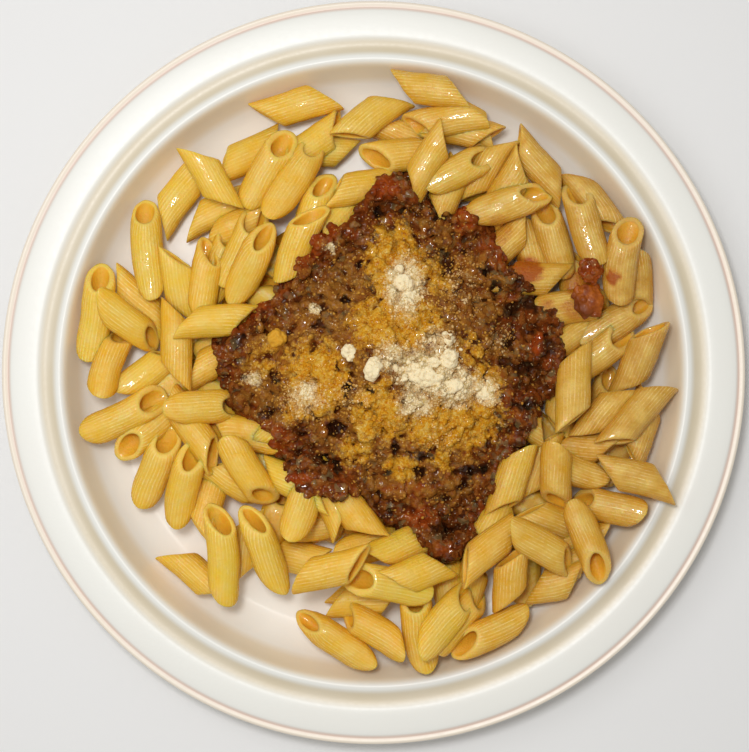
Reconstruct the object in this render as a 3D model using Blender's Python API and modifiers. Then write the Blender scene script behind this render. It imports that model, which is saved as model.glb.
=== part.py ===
"""Pasta with duck ragu: a heap of penne under a mound of ragu and grated cheese, on a round white plate.

The plate stands on the plane Z = 0 with its centre over the origin. The dish is seen from above with +X to
the right and +Y up. Sizes are metres, except in the tables of places, which are in millimetres.
"""

import math

import bmesh
import bpy
import numpy as np
from mathutils import Matrix, Vector, noise

MM = 0.001
GAP = 0.35 * MM

# Plate
PLATE_RADIUS = 130.5 * MM
WELL_RADIUS = 92.0 * MM
FLOOR_HEIGHT = 2.4 * MM
RIM_HEIGHT = 19.4 * MM
PLATE_SIDES = 52

# Penne
PENNE_RADIUS = 5.2 * MM
PENNE_WALL = 1.5 * MM
PENNE_HOLE_DEPTH = 6.0 * MM
PENNE_SIDES = (6, 6, 8)
FACETED_SWELL = 1.04
CUT_SLOPE = 1.0
EDGE_ON = math.radians(76.0)
VIEW_HEIGHT = 600.0 * MM

# How the penne settle: the share of a full diameter they keep where they cross, how far apart in radii they
# still count as crossing, how far in radii their bearing length ends short of their tips, and the steps of
# the relaxation that drops them.
NESTING = 0.5
SAME_LAYER_REACH = 1.5
LAYER_REACH = 1.75
BEARING_END = 0.8
OVERHANG = 0.3
STATIONS = 9
SETTLE_ROUNDS = 400
SETTLE_DROP = 0.2 * MM
STIFFNESS = 0.25
MAX_SLOPE = 0.32

# When penne count as one with the heap, in radii, and the steps that bring loose ones in.
FUSED = 1.75
SOLID_END = 0.4
SUNK = 0.8
NUDGE = 0.25 * MM
GATHER_ROUNDS = 40

# Heap, ragu and cheese
CORE_RADIUS = 90.0 * MM
CORE_RISE = 18.0 * MM
CORE_FALL = 1.3
CROWN_RADIUS = 46.0 * MM
CROWN_RISE = 10.0 * MM
CROWN_FALL = 1.5
CORE_GIVE = 0.5
RAGU_CENTRE = (5.8 * MM, 1.6 * MM)
RAGU_REACH = 62.0 * MM
RAGU_THICKNESS = 9.0 * MM
RAGU_THINNING = 0.55
RAGU_LUMPS = 2.6 * MM
LUMP_SIZE = 9.0 * MM
NEARBY = 4.0 * MM
HEAP_FACES = (34, 10)
RAGU_FACES = (48, 20)

COLOURS = {
    "plate": (0.86, 0.85, 0.80),
    "pasta": (0.80, 0.55, 0.20),
    "ragu": (0.16, 0.050, 0.022),
    "cheese": (0.78, 0.55, 0.24),
    "tomato": (0.45, 0.09, 0.02),
}

# The plate's top, from the well's edge to the lip, as (radius, height) in millimetres: the wall, a raised
# ring, a groove, the flat rim and a rounded lip.
PLATE_TOP = (
    (95.5, 3.4), (99.5, 7.6), (105.5, 15.8), (108.2, 18.7), (110.2, 19.4), (112.2, 18.6),
    (114.0, 17.9), (117.2, 18.8), (125.6, 19.4), (127.4, 18.1), (128.9, 19.2),
)
PLATE_UNDER = (
    (130.5, 18.4), (129.7, 16.9), (119.0, 16.6), (114.0, 15.6), (109.0, 16.4), (100.8, 5.4), (97.0, 1.1),
    (93.5, 0.0),
)

# Every penne that shows, from the bottom up, as (x, y, heading, roll, length) in millimetres and degrees,
# read from above in the plane of the rim. The heading points to the head end. At roll 0 the head's slanted
# cut faces up, and at 90 or -90 its tip lies left or right of the heading. The length is tip to tip.
BOTTOM_LAYER = (
    (-28, -64.5, -10, 90, 28), (-17, -52.5, 10, 90, 28), (70.5, 13.5, 33, 90, 30), (34, -75, 78, 90, 30),
    (26, -73, 98, 0, 30), (42, -52, 62, 90, 30), (-48, 51, 22, 90, 31), (-67, 30, 97, 90, 31),
    (-54, 57, 22, 90, 31), (-68, 62, 52, 90, 31), (-44, 76, 26, 90, 31), (12, 83, -20, 90, 28),
    (32, 88.5, -30, -90, 31), (-19, 77, 0, 90, 31), (-21, 80, 34, 60, 31), (-21, 55.5, 72, -10, 31),
    (-12, 56, 50, 90, 31), (-4, 65, 12, 90, 31), (39.5, 71, 62, -90, 31), (92, 31, 95, 180, 28),
    (77, 59, -56, 60, 31), (55.7, 39.2, 100, 170, 31), (-82, 24.5, -40, -90, 31), (-79, 0, 40, -60, 31),
    (-78, -19, 221, 0, 31), (-58, -46, 77, 90, 31), (-47, -38, -32, 90, 31), (-46, -21, 172, -40, 31),
    (-30, -18, 218, -90, 31), (70, 32, 97, 50, 31), (80, -12, 75, 0, 31), (92.5, -19, 70, 90, 31),
    (74, -26, -5, 90, 28), (66, -10, -100, 90, 31), (57, -33, 72, -90, 31), (-45, -61, 83, -90, 31),
    (-1, -61, 10, 0, 31), (-3.5, -76, -5, 90, 28), (-3, -79, 5, 90, 31), (-15.5, -43.5, -63, -90, 31),
    (16, -89, 98, 0, 32), (30, -86, 47, 25, 31), (63, -52, -22, 90, 31), (71, -60, 15, 90, 31),
    (67, -68, 25, 90, 28), (64, -74, 14, 90, 26),
)
MIDDLE_LAYER = (
    (-37, 71, 59, 0, 31), (-53, 38, 70, 0, 31), (-46, 44, 65, 0, 31), (-1, 89, 41, -90, 31),
    (30.5, 84.5, -14, 90, 31), (25, 88, 190, -50, 31), (10, 76, 188, -50, 30), (26, 63, 65, 90, 28),
    (30.5, 71, 27, 0, 28), (58, 72, -47, -90, 32), (47, 64, 57, 90, 31), (45.5, 44.5, 42, 90, 31),
    (63, 47, 108, 0, 30), (47, 59, 20, -20, 31), (74, 52, 106, 10, 32), (-97, 21, 81, 0, 35),
    (-92, 4, 73, 0, 31), (-54, 5, 28, 90, 31), (-63, -20, -52, -70, 34), (-66, -39, 75, 0, 32),
    (-76, -33, 67, 0, 32), (-27, -39, -22, -90, 31), (-44, -34.5, -60, 15, 31), (69, 23, 8, 0, 30),
    (85, 18, 32, 0, 31), (79, 7, 36, 0, 30), (93, 5, 71, -90, 32), (81, -14, 51, -90, 30),
    (68, -33, 158, 0, 30), (51, -14, -38, -90, 31), (48, -38, -107, -60, 31), (-62, -70.5, -40, 90, 31),
    (-8, -48, -55, 90, 31), (10, -61, 22, -60, 30), (-25, -46, 73, 0, 31), (5, -74, 167, 0, 32),
    (-13, -93, 147, 0, 34), (41, -91, 201, 35, 31), (82, -47, 168, 20, 29), (64, -36, 91, 150, 29),
)
TOP_LAYER = (
    (-57, 68, -62, 90, 30), (-79, 43, 95, 0, 37), (-28, 68, 58, 0, 36), (-59, 32, 80, 40, 31),
    (-43, 38, 64, 0, 32), (-27, 93, 17, -90, 33), (20, 99, -8, -90, 31), (19, 74, 57, 90, 31),
    (-26, 45, 69, -50, 31), (87, 39, 82, 0, 31), (-86, 18, -36, -30, 31), (-69, 10, 90, 90, 34),
    (-87, -15, 26, 0, 33), (-59, -12, 3, 0, 31), (-55, 18, 2, 70, 31), (55, 33, -2, 90, 31),
    (70, -5, 86, -90, 35), (92, -37, -12, -90, 31), (92, -15, 49, -100, 35), (-53, -64, 92, 35, 36),
    (-38, -62, 107, 30, 34), (-15, -69, 14, 75, 31), (16, -70, 20, -80, 28), (40, -62, 34, 90, 31),
    (0, -90, 152, -30, 31), (25, -87, 47, 25, 32), (48, -72, 87, -90, 27), (59, -61, -29, -35, 33),
    (75, -59, -70, 0, 30),
)

# Outlines as (angle, radius) in degrees and millimetres round a centre: corners and hollows only.
RAGU_OUTLINE = (
    (0, 62), (15, 62), (40, 56), (62, 62), (75, 60), (90, 69), (110, 53.5), (145, 47), (162, 52), (175, 63),
    (190, 58), (210, 47), (232, 52), (255, 47), (272, 55), (288, 71), (305, 60), (320, 53), (345, 54),
)

# Toppings as (name, material, x, y, radii, heading, depth sunk in), in millimetres and degrees, as above.
ON_RAGU = (
    ("cheese_heap", "cheese", 27.0, -4.5, (15.5, 7.5, 3.6), -20, 1.2),
    ("cheese_pinch", "cheese", 11.0, 30.5, (5.2, 6.5, 3.2), 0, 1.2),
    ("cheese_nugget_left", "cheese", -8.5, 7.0, (2.4, 2.9, 2.2), 15, 0.6),
    ("cheese_nugget_right", "cheese", -0.2, 1.2, (2.8, 4.0, 2.6), -15, 0.8),
    ("cheese_chunk", "cheese", -33.8, 12.0, (2.7, 2.7, 2.0), 30, 0.6),
)
ON_PASTA = (
    ("tomato_piece", "tomato", 75.0, 25.0, (5.4, 6.2, 2.4), 20, 1.6),
    ("mince_clump", "ragu", 76.0, 36.0, (4.2, 4.4, 2.4), 0, 1.6),
)


def clear_scene():
    for obj in list(bpy.data.objects):
        bpy.data.objects.remove(obj, do_unlink=True)


def new_collection(name):
    collection = bpy.data.collections.new(name)
    bpy.context.scene.collection.children.link(collection)
    return collection


def new_material(name, roughness):
    material = bpy.data.materials.new(name)
    material.use_nodes = True
    shader = material.node_tree.nodes["Principled BSDF"]
    shader.inputs["Base Color"].default_value = (*COLOURS[name], 1.0)
    shader.inputs["Roughness"].default_value = roughness
    shader.inputs["Metallic"].default_value = 0.0
    material.diffuse_color = (*COLOURS[name], 1.0)
    return material


def mesh_object(name, bm, collection, material=None):
    mesh = bpy.data.meshes.new(name)
    bm.to_mesh(mesh)
    bm.free()
    if material:
        mesh.materials.append(material)
    obj = bpy.data.objects.new(name, mesh)
    collection.objects.link(obj)
    return obj


def plate_surface(radius):
    """Height of the plate's top at a distance from its centre."""
    radii = [0.0, WELL_RADIUS] + [r * MM for r, _ in PLATE_TOP] + [PLATE_RADIUS]
    heights = [FLOOR_HEIGHT, FLOOR_HEIGHT] + [z * MM for _, z in PLATE_TOP + PLATE_UNDER[:1]]
    return np.interp(radius, radii, heights)


def core_surface(radius):
    """Height of the heap's bare core: a dome that meets the floor at CORE_RADIUS, with a crown in the middle."""
    dome = np.clip(1.0 - (radius / CORE_RADIUS) ** 2, 0.0, 1.0) ** CORE_FALL
    crown = np.clip(1.0 - (radius / CROWN_RADIUS) ** 2, 0.0, 1.0) ** CROWN_FALL
    return FLOOR_HEIGHT + CORE_RISE * dome + CROWN_RISE * crown


def outline_radius(outline, angle):
    """Radius of an outline at an angle in radians, eased from one corner to the next."""
    angle = math.degrees(angle) % 360.0
    corners = outline + ((outline[0][0] + 360.0, outline[0][1]),)
    for (a0, r0), (a1, r1) in zip(corners, corners[1:]):
        if a0 <= angle <= a1:
            ease = 0.5 - 0.5 * math.cos(math.pi * (angle - a0) / (a1 - a0))
            return (r0 + (r1 - r0) * ease) * MM
    return outline[0][1] * MM


def ground(x, y):
    """Height of the plate and the bare core."""
    radius = np.hypot(x, y)
    return np.maximum(plate_surface(radius), core_surface(radius))


def axis_floor(points, across):
    """Least height of a tube's axis at points where only the ground holds it up."""
    rests = []
    for share in np.linspace(-1.0, 1.0, STATIONS):
        beside = points + share * PENNE_RADIUS * across
        rise = PENNE_RADIUS * math.sqrt(1.0 - share ** 2)
        on_plate = plate_surface(np.hypot(beside[..., 0], beside[..., 1])) + rise + 2.0 * GAP
        on_core = core_surface(np.hypot(beside[..., 0], beside[..., 1])) + CORE_GIVE * rise
        rests.append(np.maximum(on_plate, on_core))
    return np.max(rests, axis=0)


class Penne:
    """All the penne of the tables as arrays, and how they lie on the plate, the core and each other."""

    def __init__(self):
        layers = (BOTTOM_LAYER, MIDDLE_LAYER, TOP_LAYER)
        rows = np.array(sum(layers, ()), float)
        self.layer = np.repeat(range(len(layers)), [len(layer) for layer in layers])
        self.seen = rows[:, :2] * MM
        self.heading = np.radians(rows[:, 2])
        self.roll = np.radians(rows[:, 3])
        self.length = rows[:, 4] * MM
        self.half = 0.5 * self.length - BEARING_END * PENNE_RADIUS
        self.along = np.stack([np.cos(self.heading), np.sin(self.heading)], 1)
        self.height = np.full(len(rows), RIM_HEIGHT)
        self.slope = np.zeros(len(rows))
        for _ in range(2):
            sight = (VIEW_HEIGHT - self.height) / (VIEW_HEIGHT - RIM_HEIGHT)
            self.place = self.seen * sight[:, None]
            self.settle()
        self.gather()

    def contacts(self, stations, points):
        """Pairs that cross, as (upper, its station, lower, its station, least spacing of their axes)."""
        found = []
        for upper in range(len(points)):
            for lower in range(upper):
                offset = points[upper] - self.place[lower]
                end = self.half[lower] + OVERHANG * PENNE_RADIUS
                beside = np.clip(offset @ self.along[lower], -end, end)
                apart = np.hypot(*(offset - beside[:, None] * self.along[lower]).T)
                reach = SAME_LAYER_REACH if self.layer[upper] == self.layer[lower] else LAYER_REACH
                for k in np.nonzero(apart < reach * PENNE_RADIUS)[0]:
                    full = math.sqrt(4.0 * PENNE_RADIUS ** 2 - apart[k] ** 2)
                    found.append((upper, stations[upper, k], lower, beside[k], NESTING * full))
        return [np.array(column) for column in zip(*found)]

    def lowest(self, slope):
        """Least heights at which the ground lets the penne lie at these slopes."""
        ends = np.linspace(-0.5, 0.5, STATIONS + 2) * self.length[:, None]
        side = np.stack([-self.along[:, 1], self.along[:, 0]], 1)[:, None]
        floor = axis_floor(self.place[:, None] + ends[..., None] * self.along[:, None], side)
        return (floor - slope[:, None] * ends).max(axis=1)

    def settle(self):
        """Let every penne drop until the ground and the penne that it crosses hold it up."""
        stations = np.linspace(-1.0, 1.0, STATIONS) * self.half[:, None]
        points = self.place[:, None] + stations[..., None] * self.along[:, None]
        upper, high, lower, low, spacing = self.contacts(stations, points)
        count = len(self.place)
        inertia = self.half ** 2 / 3.0
        height = self.lowest(np.zeros(count)) + self.layer * PENNE_RADIUS
        slope = np.zeros(count)
        for _ in range(SETTLE_ROUNDS):
            height -= SETTLE_DROP
            short = spacing - (height[upper] + slope[upper] * high - height[lower] - slope[lower] * low)
            short = np.clip(short, 0.0, None)
            touching = np.bincount(upper, short > 0.0, count) + np.bincount(lower, short > 0.0, count)
            share = STIFFNESS / np.maximum(touching, 1.0)
            lift = np.bincount(upper, short, count) - np.bincount(lower, short, count)
            tilt = np.bincount(upper, short * high / (high ** 2 + inertia[upper]), count)
            tilt -= np.bincount(lower, short * low / (low ** 2 + inertia[lower]), count)
            height += 2.0 * share * lift
            slope = np.clip(slope + share * tilt, -MAX_SLOPE, MAX_SLOPE)
            height = np.maximum(height, self.lowest(slope))
        self.height, self.slope = height, slope

    def joined(self):
        """Which penne hang together with the core, also through others that press into each other."""
        axis = np.column_stack([self.along, self.slope]) / np.sqrt(1.0 + self.slope ** 2)[:, None]
        centre = np.column_stack([self.place, self.height])
        solid = self.half - SOLID_END * PENNE_RADIUS
        stations = np.linspace(-1.0, 1.0, STATIONS) * solid[:, None]
        points = centre[:, None] + stations[..., None] * axis[:, None]
        offset = points[:, :, None] - centre
        beside = np.clip((offset * axis).sum(axis=-1), -solid, solid)
        apart = np.linalg.norm(offset - beside[..., None] * axis, axis=-1).min(axis=1)
        touching = np.minimum(apart, apart.T) < FUSED * PENNE_RADIUS
        above = points[..., 2] - core_surface(np.hypot(points[..., 0], points[..., 1]))
        held = (above < SUNK * PENNE_RADIUS).any(axis=1)
        for _ in held:
            held = held | touching[held].any(axis=0)
        return held

    def gather(self):
        """Nudge penne that would lie loose down and towards the middle until they join the heap."""
        for _ in range(GATHER_ROUNDS):
            loose = ~self.joined()
            reach = np.hypot(*self.place.T)
            self.place[loose] *= (1.0 - NUDGE / reach[loose])[:, None]
            lowest = self.lowest(self.slope)
            self.height[loose] = np.maximum(self.height - NUDGE, lowest)[loose]

    def crest(self, x, y):
        """Height of the highest penne near a place."""
        offsets = np.linspace(-NEARBY, NEARBY, 5)
        return max(self.top(x + dx, y + dy) for dx in offsets for dy in offsets)

    def top(self, x, y):
        """Height of the heap at a place."""
        offset = np.array([x, y]) - self.place
        station = (offset * self.along).sum(axis=1)
        across = self.along[:, 0] * offset[:, 1] - self.along[:, 1] * offset[:, 0]
        over = (np.abs(station) < self.half) & (np.abs(across) < PENNE_RADIUS)
        tops = (self.height + self.slope * station)[over] + np.sqrt(PENNE_RADIUS ** 2 - across[over] ** 2)
        return max([float(ground(x, y)), *tops])


def penne_shape(length, sides, open_head, open_tail):
    """A straight tube along +X with both ends cut on the same slant, tips at -Z ahead and +Z behind."""
    bm = bmesh.new()
    body = length - 2.0 * PENNE_RADIUS * CUT_SLOPE
    outer = PENNE_RADIUS * FACETED_SWELL
    bmesh.ops.create_cone(bm, cap_ends=True, segments=sides, radius1=outer, radius2=outer, depth=body)
    caps = {face.normal.z > 0.0: face for face in bm.faces if len(face.verts) == sides}
    for at_head, is_open in ((True, open_head), (False, open_tail)):
        if is_open:
            bmesh.ops.inset_region(bm, faces=[caps[at_head]], thickness=PENNE_WALL)
            floor = bmesh.ops.extrude_discrete_faces(bm, faces=[caps[at_head]])["faces"][0]
            inward = -PENNE_HOLE_DEPTH if at_head else PENNE_HOLE_DEPTH
            bmesh.ops.translate(bm, verts=list(floor.verts), vec=(0.0, 0.0, inward))
    for vert in bm.verts:
        x, y, z = vert.co
        vert.co = (z + CUT_SLOPE * x, y, -x)
    return bm


def add_penne(penne, index, collection):
    """Add one settled penne as an object of its own, its ends hollow where an opening faces up."""
    roll = penne.roll[index]
    edge_on = abs(math.cos(roll)) < math.cos(EDGE_ON)
    bm = penne_shape(penne.length[index], PENNE_SIDES[penne.layer[index]],
                     math.cos(roll) > 0.0 and not edge_on, math.cos(roll) < 0.0 and not edge_on)
    obj = mesh_object("penne", bm, collection)
    pitch = -math.atan(penne.slope[index])
    turn = Matrix.Rotation(penne.heading[index], 4, "Z") @ Matrix.Rotation(pitch, 4, "Y")
    place = Matrix.Translation((*penne.place[index], penne.height[index]))
    obj.matrix_world = place @ turn @ Matrix.Rotation(roll, 4, "X")


def mound(name, collection, material, centre, outline, top, bottom, segments, rings):
    """A lumpy body inside an outline: a sphere whose upper and lower halves take two height functions."""
    bm = bmesh.new()
    bmesh.ops.create_uvsphere(bm, u_segments=segments, v_segments=rings, radius=1.0)
    for vert in bm.verts:
        share = min(1.0, math.hypot(vert.co.x, vert.co.y))
        angle = math.atan2(vert.co.y, vert.co.x)
        reach = share * outline(angle)
        x = centre[0] + reach * math.cos(angle)
        y = centre[1] + reach * math.sin(angle)
        low = bottom(x, y)
        if vert.co.z > 1e-4:
            rounding = (1.0 - share ** 6) ** 0.5
            vert.co = (x, y, low + (top(x, y) - low) * rounding)
        else:
            vert.co = (x, y, low)
    return mesh_object(name, bm, collection, material)


def keep_largest_body(obj):
    """Drop loose scraps and the inner skins of sealed hollows, leaving the one body that shows."""
    bm = bmesh.new()
    bm.from_mesh(obj.data)
    left = set(bm.verts)
    bodies = []
    while left:
        body = {left.pop()}
        edge = list(body)
        while edge:
            vert = edge.pop()
            for link in vert.link_edges:
                other = link.other_vert(vert)
                if other in left:
                    left.remove(other)
                    body.add(other)
                    edge.append(other)
        bodies.append(body)
    bodies.sort(key=len, reverse=True)
    for body in bodies[1:]:
        bmesh.ops.delete(bm, geom=list(body), context="VERTS")
    bm.to_mesh(obj.data)
    bm.free()


def apply_boolean(obj, operation, collection=None, cutter=None):
    modifier = obj.modifiers.new(operation.title(), "BOOLEAN")
    modifier.operation = operation
    modifier.solver = "MANIFOLD"
    if collection:
        modifier.operand_type = "COLLECTION"
        modifier.collection = collection
    else:
        modifier.object = cutter
    graph = bpy.context.evaluated_depsgraph_get()
    mesh = bpy.data.meshes.new_from_object(obj.evaluated_get(graph))
    obj.modifiers.clear()
    obj.data = mesh


def remove_collection(collection):
    for obj in list(collection.objects):
        bpy.data.objects.remove(obj, do_unlink=True)
    bpy.data.collections.remove(collection)


def build_plate(dish):
    """The plate: one turned profile, from the middle of its top over the lip to the middle of its foot."""
    profile = [(0.0, FLOOR_HEIGHT), (WELL_RADIUS, FLOOR_HEIGHT)]
    profile += [(r * MM, z * MM) for r, z in PLATE_TOP + PLATE_UNDER]
    profile.append((0.0, 0.0))
    mesh = bpy.data.meshes.new("plate")
    mesh.from_pydata([(r, 0.0, z) for r, z in profile], [(i, i + 1) for i in range(len(profile) - 1)], [])
    mesh.materials.append(new_material("plate", 0.35))
    plate = bpy.data.objects.new("plate", mesh)
    dish.objects.link(plate)
    screw = plate.modifiers.new("Turn", "SCREW")
    screw.steps = PLATE_SIDES
    screw.render_steps = PLATE_SIDES
    screw.use_merge_vertices = True
    screw.merge_threshold = 0.01 * MM
    screw.use_smooth_shade = True
    return plate


def build_heap(dish, penne):
    """The penne heap: a smooth core with every penne that shows fused to it."""
    pasta = new_material("pasta", 0.4)
    heap = mound("pasta_heap", dish, pasta, (0.0, 0.0), lambda angle: CORE_RADIUS,
                 lambda x, y: float(core_surface(math.hypot(x, y))) + GAP,
                 lambda x, y: float(plate_surface(math.hypot(x, y))) + GAP, *HEAP_FACES)
    pieces = new_collection("penne")
    for index in range(len(penne.length)):
        add_penne(penne, index, pieces)
    apply_boolean(heap, "UNION", collection=pieces)
    remove_collection(pieces)
    return heap


def ragu_top(penne, x, y):
    """Height of the ragu: a lumpy blanket over the heap, thickest in the middle."""
    offsets = np.linspace(-NEARBY, NEARBY, 3)
    cover = np.mean([penne.top(x + dx, y + dy) for dx in offsets for dy in offsets])
    share = min(1.0, math.hypot(x - RAGU_CENTRE[0], y - RAGU_CENTRE[1]) / RAGU_REACH)
    lump = noise.noise(Vector((x, y, 0.0)) / LUMP_SIZE)
    return cover + RAGU_THICKNESS * (1.0 - RAGU_THINNING * share ** 2) + RAGU_LUMPS * lump


def build_ragu(dish, heap, penne):
    """The ragu: a lumpy mound that reaches over the penne round it, seated in the heap."""
    def bottom(x, y):
        return float(core_surface(math.hypot(x, y))) + 2.0 * GAP

    ragu = mound("ragu", dish, new_material("ragu", 0.4), RAGU_CENTRE,
                 lambda angle: outline_radius(RAGU_OUTLINE, angle),
                 lambda x, y: ragu_top(penne, x, y), bottom, *RAGU_FACES)
    space = mound("ragu_space", dish, None, RAGU_CENTRE,
                  lambda angle: outline_radius(RAGU_OUTLINE, angle) + 2.0 * GAP,
                  lambda x, y: 3.0 * RAGU_REACH, lambda x, y: bottom(x, y) - GAP, *RAGU_FACES)
    apply_boolean(heap, "DIFFERENCE", cutter=space)
    bpy.data.objects.remove(space, do_unlink=True)
    return ragu


def lumpy_ball(name, collection, material, radii, extra=0.0):
    """A lumpy ellipsoid, grown all round by an extra distance."""
    bm = bmesh.new()
    bmesh.ops.create_icosphere(bm, subdivisions=3 if max(radii) > 10.0 else 2, radius=1.0)
    for vert in bm.verts:
        swell = 1.0 + 0.25 * noise.noise(vert.co * 1.7 + Vector((radii[0], radii[1], 0.0)))
        vert.co = Vector(radius * MM * swell * side + extra * side for radius, side in zip(radii, vert.co))
    return mesh_object(name, bm, collection, material)


def add_toppings(dish, rows, carrier, height):
    """Toppings seated in what carries them, each in a space of its own shape a gap larger."""
    for name, finish, x, y, radii, heading, depth in rows:
        level = height(x * MM, y * MM)
        sight = (VIEW_HEIGHT - level) / (VIEW_HEIGHT - RIM_HEIGHT)
        x, y = x * MM * sight, y * MM * sight
        z = height(x, y) + (radii[2] - depth) * MM
        place = Matrix.Translation((x, y, z)) @ Matrix.Rotation(math.radians(heading), 4, "Z")
        material = bpy.data.materials.get(finish) or new_material(finish, 0.5)
        lumpy_ball(name, dish, material, radii).matrix_world = place
        space = lumpy_ball(name + "_space", dish, None, radii, GAP)
        space.matrix_world = place
        apply_boolean(carrier, "DIFFERENCE", cutter=space)
        bpy.data.objects.remove(space, do_unlink=True)


def main():
    clear_scene()
    dish = new_collection("pasta_with_duck_ragu")
    build_plate(dish)
    penne = Penne()
    heap = build_heap(dish, penne)
    ragu = build_ragu(dish, heap, penne)
    add_toppings(dish, ON_RAGU, ragu, lambda x, y: ragu_top(penne, x, y))
    add_toppings(dish, ON_PASTA, heap, penne.crest)
    keep_largest_body(heap)
    keep_largest_body(ragu)


if __name__ == "__main__":
    main()
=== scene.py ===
"""Looks for a plate of penne under duck ragu and grated cheese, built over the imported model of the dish.

Every piece stands where its solid stands: the plate on Z = 0 with its centre over the origin, +X to the right
and +Y up as the dish is seen from above. Sizes are metres, except in the tables of places, in millimetres.
"""

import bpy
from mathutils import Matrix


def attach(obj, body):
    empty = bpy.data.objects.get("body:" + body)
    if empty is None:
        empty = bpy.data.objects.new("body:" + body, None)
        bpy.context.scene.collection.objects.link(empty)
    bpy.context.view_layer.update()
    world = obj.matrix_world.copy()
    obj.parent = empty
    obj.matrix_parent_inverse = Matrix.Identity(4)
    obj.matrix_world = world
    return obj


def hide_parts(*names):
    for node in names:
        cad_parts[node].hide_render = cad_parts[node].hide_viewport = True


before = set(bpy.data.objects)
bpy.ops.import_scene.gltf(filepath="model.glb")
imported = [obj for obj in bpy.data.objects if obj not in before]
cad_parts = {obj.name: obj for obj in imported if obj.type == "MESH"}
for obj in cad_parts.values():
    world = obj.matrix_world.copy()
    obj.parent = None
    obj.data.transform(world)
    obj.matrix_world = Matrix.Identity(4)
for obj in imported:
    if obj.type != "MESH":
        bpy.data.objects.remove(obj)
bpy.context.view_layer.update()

import functools
import math

import bmesh
import bpy
import numpy as np
from bpy.props import FloatProperty, FloatVectorProperty, IntProperty, PointerProperty
from mathutils import Matrix, Vector, noise

bl_info = {
    "name": "Pasta with Duck Ragu",
    "version": (1, 0, 0),
    "blender": (4, 5, 0),
    "location": "3D View > Sidebar > Dish",
    "description": "Builds a plate of penne with duck ragu and grated cheese",
    "category": "Add Mesh",
}

MM = 0.001
GAP = 0.35 * MM

# Plate
PLATE_RADIUS = 130.5 * MM
WELL_RADIUS = 92.0 * MM
FLOOR_HEIGHT = 2.4 * MM
RIM_HEIGHT = 19.4 * MM

# Penne, the number and reach of those that hardly show, and how many faces these have around and along
PENNE_RADIUS = 5.2 * MM
CUT_SLOPE = 1.0
HIDDEN_PENNE = 90
HIDDEN_REACH = 56.0 * MM
HIDDEN_FACES = (36, 16)

# The photo: the size of a pixel in the plane of the rim, the width in pixels, and where the camera stands
PIXEL = 0.35 * MM
PHOTO_WIDTH = 749
VIEW_HEIGHT = 600.0 * MM
CAMERA_PLACE = (0.35 * MM, -1.2 * MM)
SENSOR_WIDTH = 36.0

# How the penne settle: the share of a full diameter they keep where they cross, how far apart in radii they
# still count as crossing, how far in radii their bearing length ends short of their tips, how far past it they
# still bear, how many places along them are tried, and the steps of the relaxation that drops them
NESTING = 0.5
SAME_LAYER_REACH = 1.5
LAYER_REACH = 1.75
BEARING_END = 0.8
OVERHANG = 0.3
STATIONS = 9
SETTLE_ROUNDS = 400
SETTLE_DROP = 0.2 * MM
STIFFNESS = 0.25
MAX_SLOPE = 0.32

# The heap's core, a dome with a crown, how far the penne press into it, and how far out it is built
CORE_RADIUS = 90.0 * MM
CORE_RISE = 18.0 * MM
CORE_FALL = 1.3
CROWN_RADIUS = 46.0 * MM
CROWN_RISE = 10.0 * MM
CROWN_FALL = 1.5
CORE_GIVE = 0.5
SHOWN_CORE_RADIUS = 60.0 * MM

# The ragu, which follows the mean height of the heap nearby
RAGU_CENTRE = (5.8 * MM, 1.6 * MM)
RAGU_REACH = 62.0 * MM
RAGU_THICKNESS = 9.0 * MM
RAGU_THINNING = 0.55
RAGU_LUMPS = 2.6 * MM
LUMP_SIZE = 9.0 * MM
NEARBY = 4.0 * MM

# How penne give way to the ragu over them: how far in radii their ends may stand above the core, how far inside
# its edge they have sunk to that, and how deep and how steeply whole penne sink, with more for those below
END_RISE = 1.5
SINK_EDGE = 6.0 * MM
SINK_REACH = 10.0 * MM
SINK_SHARE = 0.35
HIDDEN_SINK = 1.4

# The ragu's least thickness over penne, which it takes to be longer and wider by some length
LEAST_COVER = 2.4 * MM
COVER_SPARE = 4.5 * MM

# The mound's lumps as (height, size, seed), its creases as (depth, sharpness, size, seed), and how far red
# spots stand out and hollows go in, all in millimetres
MOUND_LUMPS = ((2.0, 5.5, 5.0), (0.7, 2.2, 9.0))
MOUND_CREASES = (2.4, 7.0, 7.0, 7.0)
RED_RISE = 1.2
HOLLOW_DEPTH = 3.0

# Mince on the mound as (pieces to a square millimetre, least radius, seed). Then a loose piece: its mince's
# least and largest radius and seed, and the share of its size that the ball under the mince has.
MINCE = ((0.035, 1.4 * MM, 11), (0.09, 0.5 * MM, 12))
LOOSE_RADII = (0.5 * MM, 1.3 * MM)
LOOSE_SEED = 23
LOOSE_BALL = 0.95

# The grains that skins are swollen into, as (size, depth), and the most triangles and the size of the cells of
# a small piece and of a pile
MINCE_SKIN = ((3.4 * MM, 1.0 * MM), (1.3 * MM, 0.5 * MM))
LOOSE_SKIN = ((3.0 * MM, 0.6 * MM),)
PILE_SKIN = ((2.6 * MM, 0.7 * MM), (1.0 * MM, 0.45 * MM))
NUGGET_SKIN = ((2.2 * MM, 0.5 * MM), (0.9 * MM, 0.2 * MM))
SMALL_FACES = 12000
PILE_FACES = 60000
SMALL_CELL = 0.3 * MM
PILE_CELL = 0.33 * MM

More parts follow.
